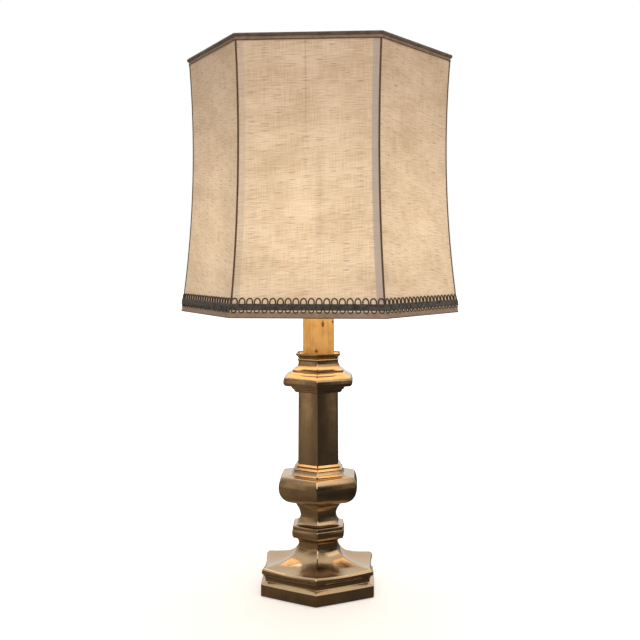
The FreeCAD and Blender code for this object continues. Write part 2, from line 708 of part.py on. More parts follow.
def drip_cup():
    """Thin flared cup that catches the wax round the candle."""
    flare_z = CUP_Z + CUP_FLARE_RISE
    body = hexagonal(
        (CUP_FOOT_R, CUP_Z),
        (CUP_LIP_R, flare_z, CUP_FLARE_BULGE),
        (CUP_LIP_R, CUP_RIM_Z),
    )
    wall = CUP_WALL / COS30
    inside = hexagonal(
        (CUP_FOOT_R - wall, CUP_FLOOR_Z),
        (CUP_LIP_R - wall, flare_z + CUP_FLOOR / 2, CUP_FLARE_BULGE),
        (CUP_LIP_R - wall, CUP_RIM_Z + 1),
    )
    return body.cut(inside).cut(disc(ROD_R + ROD_PLAY, CUP_Z - 1, CUP_RIM_Z))


def candle_sleeve():
    """Round slip-on tube that stands in the cup and hides the lampholder."""
    return disc(SLEEVE_R, CUP_FLOOR_Z, SLEEVE_TOP_Z, SLEEVE_R - SLEEVE_WALL)


# ---- Lampholder
def lampholder_base():
    """Bottom cap of the lampholder, screwed on the rod."""
    outer = HOLDER_BORE_R + HOLDER_WALL
    inner = outer - HOLDER_BASE_WALL
    return lathe(
        (ROD_R, HOLDER_Z),
        (outer - HOLDER_BASE_EDGE, HOLDER_Z),
        (outer, HOLDER_Z + HOLDER_BASE_EDGE),
        (outer, SHELL_Z),
        (inner, SHELL_Z),
        (inner, ROD_TOP_Z),
        (ROD_R, ROD_TOP_Z),
    )


def lampholder_shell():
    """Outer shell with the flange that carries the shade and the thread for its ring."""
    outer = HOLDER_BORE_R + HOLDER_WALL
    flange = FITTER_HOLE_R + FITTER_SEAT
    thread_top = FLANGE_TOP_Z + HOLDER_THREAD_RISE
    rim = HOLDER_THREAD_R - HOLDER_RIM_IN
    return lathe(
        (HOLDER_BORE_R, SHELL_Z),
        (outer, SHELL_Z),
        (outer, FLANGE_Z),
        (flange, FLANGE_Z),
        (flange, FLANGE_TOP_Z),
        (HOLDER_THREAD_R, FLANGE_TOP_Z),
        (HOLDER_THREAD_R, thread_top),
        (rim, thread_top),
        (rim, HOLDER_TOP_Z),
        (HOLDER_BORE_R, HOLDER_TOP_Z),
    )


def lampholder_core():
    """Ceramic insert that carries the contacts, drilled for its two terminal screws."""
    body = disc(CORE_R, SHELL_Z, CORE_TOP_Z)
    for side in (-1, 1):
        place = inlet_side(side, TERMINAL_OFFSET + HOLDER_SCREW_HEAD_R + LEAD_R, SHELL_Z - 1)
        body = body.cut(Part.makeCylinder(HOLDER_SCREW_R + SPIGOT_PLAY, CORE_RISE / 2, place))
    return body


def inlet_side(side, offset, height):
    """Point to one side of the lamp's axis, across the inlet's direction."""
    turn = math.radians(INLET_TURN)
    return FreeCAD.Vector(side * offset * math.cos(turn), side * offset * math.sin(turn), height)


def holder_screws():
    """The two terminal screws under the core, beside the leads' ends."""
    screws = []
    for side in (-1, 1):
        offset = TERMINAL_OFFSET + HOLDER_SCREW_HEAD_R + LEAD_R
        head = Part.makeCylinder(HOLDER_SCREW_HEAD_R, HOLDER_SCREW_R, inlet_side(side, offset, SHELL_Z - HOLDER_SCREW_R))
        shank = Part.makeCylinder(HOLDER_SCREW_R, CORE_RISE / 3, inlet_side(side, offset, SHELL_Z - HOLDER_SCREW_R))
        screws.append(head.fuse(shank))
    return group(screws)


def lampholder_liner():
    """Screw liner that the bulb's cap turns in."""
    return disc(LINER_R + LINER_WALL, CORE_TOP_Z, CORE_TOP_Z + LINER_RISE, LINER_R)


def centre_contact():
    """Springy arched strip under the bulb's tip."""
    half = CONTACT_SPAN / 2
    rest = CORE_TOP_Z
    top = rest + CONTACT_RISE
    outer = Part.Arc(at(-half, rest), at(0, top), at(half, rest)).toShape()
    inner = Part.Arc(at(half - CONTACT_STRIP, rest), at(0, top - CONTACT_STRIP), at(CONTACT_STRIP - half, rest)).toShape()
    right = Part.LineSegment(at(half, rest), at(half - CONTACT_STRIP, rest)).toShape()
    left = Part.LineSegment(at(CONTACT_STRIP - half, rest), at(-half, rest)).toShape()
    strip = Part.Face(Part.Wire([outer, right, inner, left])).extrude(FreeCAD.Vector(0, CONTACT_WIDTH, 0))
    strip.translate(FreeCAD.Vector(0, -CONTACT_WIDTH / 2, 0))
    return strip


def side_contact():
    """Strip that stands on the core and touches the liner's outside."""
    inner = LINER_R + LINER_WALL
    ring = disc(inner + CONTACT_STRIP, CORE_TOP_Z, CORE_TOP_Z + CONTACT_RISE, inner)
    slot = Part.makeBox(BIG, CONTACT_WIDTH, BIG)
    slot.translate(FreeCAD.Vector(0, -CONTACT_WIDTH / 2, 0))
    return ring.common(slot)


# ---- Bulb
def bulb_contact():
    """Solder tip."""
    return lathe((0, TIP_Z), (TIP_R, TIP_Z + TIP_RISE, TIP_RISE / 4), (0, TIP_Z + TIP_RISE))


def bulb_insulator():
    """Dark glass cone between the tip and the cap."""
    low = TIP_Z + TIP_RISE
    cone_top = CAP_ROOT_R - CAP_WALL
    return lathe((0, low), (TIP_R + 1, low), (cone_top, low + INSULATOR_RISE), (0, low + INSULATOR_RISE))


def bulb_cap():
    """Thin rolled screw cap; its thread is drawn as rings and ends in a plain collar."""
    low = TIP_Z + TIP_RISE + INSULATOR_RISE
    steps = [(CAP_ROOT_R, low)]
    for n in range(CAP_THREADS):
        base = low + n * THREAD_PITCH
        steps.append((CAP_CREST_R, base + THREAD_PITCH / 2, 0.2))
        steps.append((CAP_ROOT_R, base + THREAD_PITCH, 0.2))
    top = low + CAP_THREADS * THREAD_PITCH
    inner = CAP_ROOT_R - CAP_WALL
    steps += [(CAP_COLLAR_R, top + CAP_COLLAR_RISE / 2), (CAP_COLLAR_R, top + CAP_COLLAR_RISE)]
    steps += [(CAP_COLLAR_R - CAP_WALL, top + CAP_COLLAR_RISE), (CAP_COLLAR_R - CAP_WALL, top + CAP_COLLAR_RISE / 2)]
    steps += [(inner, top)]
    return lathe((inner, low), *steps)


def globe_outline(inset):
    """Half outline of the bulb's glass, from the neck's mouth to the crown, moved in by inset."""
    join = math.radians(NECK_JOIN_ANGLE)
    radius = GLOBE_R - inset
    joint = (radius * math.cos(join), GLOBE_Z - radius * math.sin(join))
    cone_run = NECK_CONE_DROP * math.tan(join)
    cone_end = (joint[0] - cone_run, joint[1] - NECK_CONE_DROP)
    neck_z = GLOBE_Z - GLOBE_R * math.sin(join) - NECK_CONE_DROP - NECK_LENGTH
    neck = (CAP_COLLAR_R - CAP_WALL - GLASS_NECK_IN - inset, neck_z)
    equator_bulge = radius * (1 - math.cos((math.pi / 2 + join) / 2))
    return neck, [cone_end + (-0.9,), joint, (0, GLOBE_Z + radius, equator_bulge)]


def bulb_glass():
    """Glass shell of the bulb, open at the neck."""
    neck, outer_steps = globe_outline(0)
    inner_neck, inner_steps = globe_outline(GLASS_THICK)
    outer = lathe(neck, *outer_steps, (0, neck[1]))
    inner = lathe(inner_neck, *inner_steps, (0, inner_neck[1]))
    return outer.cut(inner)


def bulb_stem():
    """Glass stem that carries the filament."""
    low = globe_outline(0)[0][1]
    return lathe(
        (0, low),
        (STEM_FLARE_R, low),
        (STEM_FLARE_R, low + 1),
        (STEM_R, low + STEM_FLARE_RISE, -1.5),
        (STEM_R, low + STEM_RISE),
        (STEM_R + STEM_BEAD_OUT, low + STEM_RISE + STEM_BEAD_RISE),
        (0, low + STEM_RISE + STEM_BEAD_RISE + STEM_CROWN_RISE),
    )


def filament():
    """Coil across the globe on two supports."""
    low = globe_outline(0)[0][1] + STEM_RISE
    high = low + FILAMENT_RISE
    half = FILAMENT_SPAN / 2
    coil = tube(Part.Wire(Part.Arc(at(-half, high), at(0, high + half / 2), at(half, high)).toShape()), FILAMENT_R)
    solids = [coil]
    for side in (-1, 1):
        run = Part.LineSegment(at(side * STEM_R / 2, low), at(side * half, high)).toShape()
        solids.append(tube(Part.Wire(run), SUPPORT_R))
    return solids[0].fuse(solids[1:]).cut(bulb_stem())


# ---- Shade ring and frame
def shade_ring():
    """Knurled ring nut that clamps the shade's fitter on the lampholder."""
    bore = HOLDER_THREAD_R + THREAD_PLAY
    low = RING_NUT_Z
    body = lathe(
        (bore, low),
        (RING_NUT_FLANGE_R, low),
        (RING_NUT_FLANGE_R, low + RING_NUT_FLANGE_RISE),
        (RING_NUT_BODY_R, low + RING_NUT_FLANGE_RISE),
        (RING_NUT_BODY_R, low + RING_NUT_RISE),
        (bore, low + RING_NUT_RISE),
    )
    groove = Part.makeCylinder(KNURL_R, RING_NUT_RISE, at(RING_NUT_BODY_R, low + RING_NUT_FLANGE_RISE))
    grooves = [spun(groove, n * 360 / KNURL_COUNT) for n in range(KNURL_COUNT)]
    return body.cut(grooves)


def shaded(shape):
    """Turns a six-sided shape built with a corner in front to the shade's own place."""
    return spun(shape, 30 + SHADE_TURN)


def shade_radius(height):
    """Corner radius of the shade's outside at a height; the struts curve in between the two rings."""
    t = (height - SHADE_Z) / SHADE_HEIGHT
    return SHADE_BOTTOM_R + (SHADE_TOP_R - SHADE_BOTTOM_R) * t - 4 * SHADE_SAG * t * (1 - t)


def shade_region(inset, low, high):
    """Everything inside the shade's outside moved in by inset, between two heights."""
    offset = inset / COS30
    middle = (low + high) / 2
    chord_r = (shade_radius(low) + shade_radius(high)) / 2
    bulge = (shade_radius(middle) - chord_r) * COS30
    return hexagonal((shade_radius(low) - offset, low), (shade_radius(high) - offset, high, bulge))


def skin(outer_inset, inner_inset, low, high):
    """Thin six-sided tube between two insets from the shade's outside."""
    body = shade_region(outer_inset, low, high).cut(shade_region(inner_inset, low - 1, high + 1))
    return shaded(body)


def ring_inset():
    """Distance of the frame rings' wire middles inside the shade's outside, across flats."""
    return COVER_THICK + GLUE + RING_WIRE_R


def frame_ring(height):
    """Six-sided ring of round wire."""
    radius = shade_radius(height) - ring_inset() / COS30
    corners = [FreeCAD.Vector(radius * math.sin(math.radians(60 * n)), -radius * math.cos(math.radians(60 * n)), height)
               for n in range(6)]
    solids = []
    for n in range(6):
        start, end = corners[n], corners[(n + 1) % 6]
        along = (end - start).normalize()
        bar = Part.makeCylinder(RING_WIRE_R, radius + 4 * RING_WIRE_R, start - along * 2 * RING_WIRE_R, along)
        wedge_edge = [ORIGIN, start * 2, end * 2]
        corner_points = [FreeCAD.Vector(p.x, p.y, 0) for p in wedge_edge]
        wedge = Part.Face(Part.makePolygon(corner_points + [corner_points[0]])).extrude(FreeCAD.Vector(0, 0, 2 * BIG))
        solids.append(bar.common(wedge))
    return shaded(solids[0].fuse(solids[1:]).removeSplitter())


def top_ring_z():
    """Height of the top ring's wire."""
    return SHADE_TOP_Z - EDGE_THICK - GLUE - RING_WIRE_R


def bottom_ring_z():
    """Height of the bottom ring's wire."""
    return SHADE_Z + EDGE_THICK + GLUE + RING_WIRE_R


def frame_struts():
    """Six wires that curve in from the bottom ring and out again to the top ring."""
    low = bottom_ring_z() + RING_WIRE_R / 2
    high = top_ring_z() - RING_WIRE_R / 2
    middle = (low + high) / 2
    inset = (COVER_THICK + GLUE + STRUT_R) / COS30
    points = [FreeCAD.Vector(0, inset - shade_radius(z), z) for z in (low, middle, high)]
    curve = Part.Arc(*points)
    step = (curve.LastParameter - curve.FirstParameter) / STRUT_SPANS
    stops = [curve.FirstParameter + step * n for n in range(STRUT_SPANS + 1)]
    path = Part.Wire([curve.toShape(*span) for span in zip(stops, stops[1:])])
    strut = shaded(tube(path, STRUT_R))
    strut = strut.cut([frame_ring(top_ring_z()), frame_ring(bottom_ring_z())])
    return group([spun(strut, 60 * n) for n in range(6)])


def fitter_ring():
    """Flat ring that sits on the lampholder's flange."""
    return disc(ARM_FOOT_R + FITTER_RIM, FITTER_Z, FITTER_Z + FITTER_THICK, FITTER_HOLE_R)


def arm_solids(wire_radius):
    """The three arms' solids: from the middle of every other top side down past the bulb to the fitter."""
    height = top_ring_z()
    start = shade_radius(height) * COS30 - ring_inset()
    low = FITTER_Z + FITTER_THICK
    points = [
        FreeCAD.Vector(0, -start, height),
        FreeCAD.Vector(0, ARM_LEVEL_RUN - start, height),
        FreeCAD.Vector(0, -ARM_FOOT_R, low + ARM_LEG_RISE),
        FreeCAD.Vector(0, -ARM_FOOT_R, low),
    ]
    arm = tube(rounded_path(points, ARM_BEND_R), wire_radius)
    return [spun(arm, SHADE_TURN + 360 / ARM_COUNT * n) for n in range(ARM_COUNT)]


def spider_arms():
    """Three wires, each end shaped to the top ring that it is welded to."""
    ring = frame_ring(top_ring_z())
    return group([arm.cut(ring) for arm in arm_solids(ARM_WIRE_R)])


# ---- Shade cloth and trims
def shade_cover():
    """Outer cloth, drawn tight over the struts."""
    return skin(0, COVER_THICK, SHADE_Z + EDGE_THICK, SHADE_TOP_Z - EDGE_THICK)


def lining_inset():
    """Distance of the lining's outer face inside the shade's outside: just past the rings."""
    return ring_inset() + RING_WIRE_R + GLUE


def with_arm_holes(shape):
    """The shape with holes for the arms to pass."""
    return shape.cut(arm_solids(ARM_WIRE_R + ARM_HOLE_PLAY))


def shade_lining():
    """Inner cloth, glued to the two rings."""
    inset = lining_inset()
    return with_arm_holes(skin(inset, inset + LINING_THICK, bottom_ring_z(), top_ring_z()))


def edge_band(proud, low, high, at_top):
    """Tape on the outside of the shade that turns over its edge and down inside the lining."""
    leg = lining_inset() + LINING_THICK + GLUE
    keep_low = low - 1 if at_top else low + EDGE_THICK
    keep_high = high - EDGE_THICK if at_top else high + 1
    fold = shade_region(0, keep_low, keep_high).cut(shade_region(leg, low - 1, high + 1))
    band = shade_region(-proud, low, high).cut(fold)
    return shaded(band.cut(shade_region(leg + EDGE_THICK, low - 2, high + 2)))


def top_trim():
    """Flat tape folded over the top edge."""
    return with_arm_holes(edge_band(TRIM_PROUD, SHADE_TOP_Z - TRIM_RISE, SHADE_TOP_Z, True))


def top_cord():
    """Rolled cord sewn round the upper half of the top tape."""
    low, high = SHADE_TOP_Z - CORD_RISE, SHADE_TOP_Z
    out = (TRIM_PROUD + CORD_PROUD) / COS30
    roll = hexagonal((shade_radius(low) + out, low), (shade_radius(high) + out, high, CORD_BULGE))
    return shaded(roll.cut(shade_region(-TRIM_PROUD, low - 1, high + 1)))


def bottom_binding():
    """Plain hem folded over the bottom edge."""
    return edge_band(HEM_PROUD, SHADE_Z, SHADE_Z + HEM_RISE, False)


def gimp_braid():
    """Band that the looped gimp fills, just over the hem."""
    low = SHADE_Z + HEM_RISE
    return skin(-GIMP_PROUD, 0, low, low + GIMP_RISE)


def strut_tapes():
    """Six seam tapes on the inside of the cover, one beside each strut, in pairs on every other panel."""
    low = bottom_ring_z() + RING_WIRE_R + TAPE_SHORT
    high = top_ring_z() - RING_WIRE_R - TAPE_SHORT
    inner = COVER_THICK + GLUE
    liner = shade_region(inner, low, high).cut(shade_region(inner + TAPE_THICK, low - 1, high + 1))
    tapes = []
    for n in range(6):
        near = TAPE_CLEAR * COS30
        width = TAPE_WIDTH * COS30
        slab = Part.makeBox(width, BIG, 2 * BIG)
        slab.translate(FreeCAD.Vector(near if n % 2 else -near - width, -BIG, 0))
        piece = liner.common(slab)
        tapes.append(shaded(spun(piece, 60 * n)))
    return group(tapes)


NODES = {
    "foot": foot,
    "base_plate": base_plate,
    "base_felt": base_felt,
    "plate_screws": plate_screws,
    "base_weight": base_weight,
    "base_washer": lambda: disc(WASHER_R, BASE_WASHER_Z, WEIGHT_Z, ROD_R + ROD_PLAY),
    "base_nut": lambda: nut(BASE_NUT_Z),
    "cord_bushing": cord_bushing,
    "terminal_block": terminal_block,
    "terminal_screws": terminal_screws,
    "lead_live": lambda: lead(-1),
    "lead_neutral": lambda: lead(1),
    "stem_rod": stem_rod,
    "lower_ring": lower_ring,
    "knop": knop,
    "knop_collar": knop_collar,
    "column": column,
    "capital": capital,
    "drip_cup": drip_cup,
    "top_nut": lambda: nut(CUP_FLOOR_Z),
    "candle_sleeve": candle_sleeve,
    "lampholder_base": lampholder_base,
    "lampholder_shell": lampholder_shell,
    "lampholder_core": lampholder_core,
    "lampholder_liner": lampholder_liner,
    "holder_screws": holder_screws,
    "centre_contact": centre_contact,
    "side_contact": side_contact,
    "bulb_contact": bulb_contact,
    "bulb_insulator": bulb_insulator,
    "bulb_cap": bulb_cap,
    "bulb_glass": bulb_glass,
    "bulb_stem": bulb_stem,
    "filament": filament,
    "shade_ring": shade_ring,
    "fitter_ring": fitter_ring,
    "spider_arms": spider_arms,
    "top_frame_ring": lambda: frame_ring(top_ring_z()),
    "bottom_frame_ring": lambda: frame_ring(bottom_ring_z()),
    "frame_struts": frame_struts,
    "shade_cover": shade_cover,
    "shade_lining": shade_lining,
    "top_trim": top_trim,
    "top_cord": top_cord,
    "gimp_braid": gimp_braid,
    "bottom_binding": bottom_binding,
    "strut_tapes": strut_tapes,
}

os.makedirs("parts", exist_ok=True)
for name, build in NODES.items():
    shape = build()
    shape.exportStep("parts/" + name + ".step")
    box = shape.BoundBox
    print("%-18s solids %d valid %s volume %9.1f z %.2f..%.2f" % (
        name, len(shape.Solids), shape.isValid(), shape.Volume, box.ZMin, box.ZMax))
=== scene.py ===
"""A candlestick lamp, dressed.

Antique bronze castings, a waxed candle tube and a lit, trimmed cloth shade.
"""

import logging
import math
from dataclasses import dataclass
from enum import Enum

import bmesh
import bpy
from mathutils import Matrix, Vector, noise


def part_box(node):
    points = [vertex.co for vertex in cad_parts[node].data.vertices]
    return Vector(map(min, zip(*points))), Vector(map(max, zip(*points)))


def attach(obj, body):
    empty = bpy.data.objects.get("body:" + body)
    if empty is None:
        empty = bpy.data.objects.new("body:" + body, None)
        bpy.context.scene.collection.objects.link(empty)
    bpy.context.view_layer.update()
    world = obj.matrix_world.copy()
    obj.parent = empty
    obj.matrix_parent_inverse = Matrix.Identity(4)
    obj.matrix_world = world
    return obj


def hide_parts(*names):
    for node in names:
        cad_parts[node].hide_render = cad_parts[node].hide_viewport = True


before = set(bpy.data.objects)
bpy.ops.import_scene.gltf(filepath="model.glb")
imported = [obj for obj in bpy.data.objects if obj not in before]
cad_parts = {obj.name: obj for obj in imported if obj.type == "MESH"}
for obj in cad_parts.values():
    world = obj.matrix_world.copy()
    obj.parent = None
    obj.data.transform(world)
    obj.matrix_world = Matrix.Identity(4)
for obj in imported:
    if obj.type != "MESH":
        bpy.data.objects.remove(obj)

MM = 0.001
SIDES = 6
SIDE_TURN = math.radians(60)
HALF_TURN = math.radians(30)
COS30 = math.cos(HALF_TURN)
TAN30 = math.tan(HALF_TURN)
STEM = "lamp_stem"
SHADE = "shade"
log = logging.getLogger("lamp")

Tree = bpy.types.NodeTree
Node = bpy.types.Node
Piece = bpy.types.Object
Socket = bpy.types.NodeSocket
Value = float | tuple | Socket
Points = list[tuple[float, float]]


# ---------------------------------------------------------------- Colours and nodes


def linear(code: str) -> tuple[float, float, float, float]:
    """Linear colour of an sRGB hex code such as "#c8a070"."""
    parts = [int(code[i : i + 2], 16) / 255 for i in (1, 3, 5)]
    return tuple(c / 12.92 if c <= 0.04045 else ((c + 0.055) / 1.055) ** 2.4 for c in parts) + (1.0,)


def feed(tree: Tree, node: Node, inputs: dict[str | int, Value]) -> None:
    """Sets a node's inputs.

    Args:
        tree: the node tree that the node is in.
        node: the node.
        inputs: a value, or a socket to link from, for each named or numbered input.
    """
    for name, value in inputs.items():
        if isinstance(value, Socket):
            tree.links.new(value, node.inputs[name])
        else:
            node.inputs[name].default_value = value


def add(tree: Tree, kind: str, inputs: dict[str | int, Value], **settings: object) -> Node:
    """Adds a node.

    Args:
        tree: the node tree that the node goes into.
        kind: the node's type, such as "ShaderNodeMath".
        inputs: what goes into its inputs.
        settings: the node's own properties.

    Returns:
        The new node.
    """
    node = tree.nodes.new(kind)
    for name, value in settings.items():
        setattr(node, name, value)
    feed(tree, node, inputs)
    return node


def calc(tree: Tree, operation: str, a: Value, b: Value = 0.0, c: Value = 0.0) -> Socket:
    """The result of one sum on two or three numbers."""
    return add(tree, "ShaderNodeMath", {0: a, 1: b, 2: c}, operation=operation).outputs[0]


def times(tree: Tree, a: Value, b: Value) -> Socket:
    """The product of two numbers."""
    return calc(tree, "MULTIPLY", a, b)


def rest(tree: Tree, share: Value) -> Socket:
    """What a share leaves of one."""
    return calc(tree, "SUBTRACT", 1.0, share)


def weigh(tree: Tree, a: Socket, b: Socket, share: float) -> Socket:
    """Two numbers together: a share of the first and the rest of the second."""
    return calc(tree, "MULTIPLY_ADD", a, share, times(tree, b, 1 - share))


def ramp(tree: Tree, value: Socket, low: float, high: float) -> Socket:
    """Nothing below low, one above high and a smooth step between."""
    inputs = {"Value": value, "From Min": low, "From Max": high}
    return add(tree, "ShaderNodeMapRange", inputs, interpolation_type="SMOOTHSTEP").outputs["Result"]


def blend(tree: Tree, factor: Value, a: Value, b: Value) -> Socket:
    """Two colours mixed by a factor."""
    return add(tree, "ShaderNodeMix", {0: factor, 6: a, 7: b}, data_type="RGBA").outputs[2]


def grain(tree: Tree, where: Socket, size: tuple[float, ...], detail: float = 3.0) -> Socket:
    """Noise whose features have a size in millimetres along each of three axes."""
    scale = tuple(1 / (s * MM) for s in size)
    mapped = add(tree, "ShaderNodeMapping", {"Vector": where, "Scale": scale}).outputs[0]
    inputs = {"Vector": mapped, "Scale": 1.0, "Detail": detail, "Roughness": 0.55}
    return add(tree, "ShaderNodeTexNoise", inputs).outputs["Fac"]


def split(tree: Tree, vector: Socket) -> bpy.types.bpy_prop_collection:
    """The parts X, Y and Z of a vector."""
    return add(tree, "ShaderNodeSeparateXYZ", {0: vector}).outputs


def band_at(tree: Tree, value: Socket, middle: float, half: float) -> Socket:
    """One at a middle and nothing beyond a half width, both in millimetres, and smooth between."""
    off = calc(tree, "ABSOLUTE", calc(tree, "SUBTRACT", value, middle * MM))
    return rest(tree, ramp(tree, off, 0.0, half * MM))


def relief(tree: Tree, height: Socket, depth: float, strength: float = 1.0) -> Socket:
    """Bump from a height of nothing to one, over a depth in millimetres."""
    inputs = {"Height": height, "Distance": depth * MM, "Strength": strength}
    return add(tree, "ShaderNodeBump", inputs).outputs[0]


# ---------------------------------------------------------------- Finishes


@dataclass(frozen=True)
class Finish:
    """A real material and how its surface was made.

    Attributes:
        name: the material's name.
        slot: name of a material slot; not used.
        colour: the main colour.
        second: the colour that it varies towards.
        rough: its roughness.
        metal: 1 for a bare metal.
        patch: size of its clouds of colour, in millimetres.
        fleck: size of its flecks, in millimetres.
        depth: how deep the flecks are, in millimetres.
        coat: how much of a clear skin it has.
        vary: how much the roughness varies between flecks.
    """

    name: str
    slot: str
    colour: str
    second: str
    rough: float = 0.5
    metal: float = 0.0
    patch: float = 12.0
    fleck: float = 0.8
    depth: float = 0.03
    coat: float = 0.0
    vary: float = 0.16

    def material(self) -> bpy.types.Material:
        """The material, made once."""
        made = bpy.data.materials.get(self.name)
        if made:
            return made
        made = bpy.data.materials.new(self.name)
        made.use_nodes = True
        tree = made.node_tree
        shader = tree.nodes["Principled BSDF"]
        feed(tree, shader, {"Metallic": self.metal, "Roughness": self.rough, "Coat Weight": self.coat})
        self.dress(tree, shader, add(tree, "ShaderNodeTexCoord", {}).outputs["Object"])
        return made

    def tones(self, tree: Tree, value: Socket, low: float = 0.36, high: float = 0.64) -> Socket:
        """The main colour, going over to the second as a value goes from low to high."""
        return blend(tree, ramp(tree, value, low, high), linear(self.colour), linear(self.second))

    def polish(self, tree: Tree, value: Socket) -> Socket:
        """The roughness, varied by a value."""
        return calc(tree, "MULTIPLY_ADD", value, self.vary, self.rough - self.vary / 2)

    def dress(self, tree: Tree, shader: Node, where: Socket) -> None:
        """Large patches of the second colour, fine flecks, and the flecks' relief."""
        patches = grain(tree, where, (self.patch,) * 3)
        flecks = grain(tree, where, (self.fleck,) * 3, 2.0)
        feed(tree, shader, {
            "Base Color": self.tones(tree, weigh(tree, patches, flecks, 0.7), 0.35, 0.65),
            "Roughness": self.polish(tree, flecks),
            "Normal": relief(tree, flecks, self.depth),
        })


@dataclass(frozen=True)
class Bronze(Finish):
    """Cast brass with a bronze patina, rubbed back by hand and lacquered: glossy, with soft tool marks.

    Attributes:
        rubbed: the colour on faces that look up: patina rubbed thin, and a painted reflection of the lit
            shade above.
        streak: length of a fine streak, in millimetres.
        up_sheen_and_wear: how far a face that looks up goes over to that colour: rubbed patina and painted
            sheen.
    """

    rubbed: str = "#c9a981"
    streak: float = 55.0
    up_sheen_and_wear: float = 0.6

    def dress(self, tree: Tree, shader: Node, where: Socket) -> None:
        """Patina in clouds and fine streaks, lighter on faces that look up: rubbed patina, and a painted
        reflection of the lit shade above.
        """
        clouds = grain(tree, where, (26, 26, 34), 4.0)
        streaks = grain(tree, where, (2.2, 2.2, self.streak), 2.0)
        smears = grain(tree, where, (14, 14, 9), 3.0)
        dents = grain(tree, where, (9, 9, 16), 2.0)
        patina = self.tones(tree, weigh(tree, clouds, streaks, 0.75), 0.32, 0.66)
        # Painted light: faces that look up are lightened as if lit by the glowing shade above, over patina
        # rubbed thin there.
        up = split(tree, add(tree, "ShaderNodeNewGeometry", {}).outputs["Normal"])["Z"]
        bare = times(tree, ramp(tree, up, 0.1, 0.8), self.up_sheen_and_wear)
        feed(tree, shader, {
            "Base Color": blend(tree, bare, patina, linear(self.rubbed)),
            "Roughness": self.polish(tree, smears),
            "Normal": relief(tree, dents, 0.16, 0.6),
        })


@dataclass(frozen=True)
class Wax(Finish):
    """Card tube dipped in tinted wax: satin, a little translucent, with faint runs down it."""

    def dress(self, tree: Tree, shader: Node, where: Socket) -> None:
        """Long vertical runs over cloudy wax, with light let into it."""
        runs = grain(tree, where, (3.5, 3.5, 60), 2.0)
        clouds = grain(tree, where, (11, 11, 14), 3.0)
        both = weigh(tree, runs, clouds, 0.5)
        feed(tree, shader, {
            "Base Color": self.tones(tree, both),
            "Normal": relief(tree, both, 0.5, 0.6),
            "Subsurface Weight": 0.15,
            "Subsurface Scale": 3 * MM,
        })


@dataclass(frozen=True)
class Glow:
    """Light of the bulb seen through the shade.

    Attributes:
        height: the bulb's middle over the table, in millimetres.
        reach: how far the cloth is from the bulb where it is brightest.
        fall: the power by which it fades with distance.
        strength: how strong it is there.
        nearest: the most that being nearer can add.
        colour: its colour.
    """

    height: float = 447.0
    reach: float = 140.0
    fall: float = 1.9
    strength: float = 0.58
    nearest: float = 1.2
    colour: str = "#ffe0aa"

    def field(self, tree: Tree, where: Socket) -> Socket:
        """How strong the light is at a place."""
        middle = (0.0, 0.0, self.height * MM)
        far = add(tree, "ShaderNodeVectorMath", {0: where, 1: middle}, operation="DISTANCE")
        near = calc(tree, "DIVIDE", self.reach * MM, far.outputs["Value"])
        near = calc(tree, "MINIMUM", near, self.nearest)
        return times(tree, calc(tree, "POWER", near, self.fall), self.strength)


@dataclass(frozen=True)
class ArmShadow:
    """Shadow of one of the frame's arms on a panel.

    Attributes:
        across: its middle, to the right of the panel's middle, in millimetres.
        half: half its width.
        rise: the heights in metres between which it sets in.
        fade: the heights in metres between which it fades again.
        depth: how much of the light it takes.
    """

    across: float
    half: float
    rise: tuple[float, float]
    fade: tuple[float, float]
    depth: float

    def field(self, tree: Tree, across: Socket, height: Socket) -> Socket:
        """How much of the light it takes at a place."""
        line = times(tree, band_at(tree, across, self.across, self.half), ramp(tree, height, *self.rise))
        return times(tree, times(tree, line, rest(tree, ramp(tree, height, *self.fade))), self.depth)


# A sharp line high on the panel, and a soft one lower down; the sharp one runs on to over the shade's top.
ARM_SHADOWS = (
    ArmShadow(-3.0, 1.6, (0.54, 0.60), (0.8, 0.9), 0.28),
    ArmShadow(13.0, 8.0, (0.42, 0.47), (0.50, 0.60), 0.16),
)


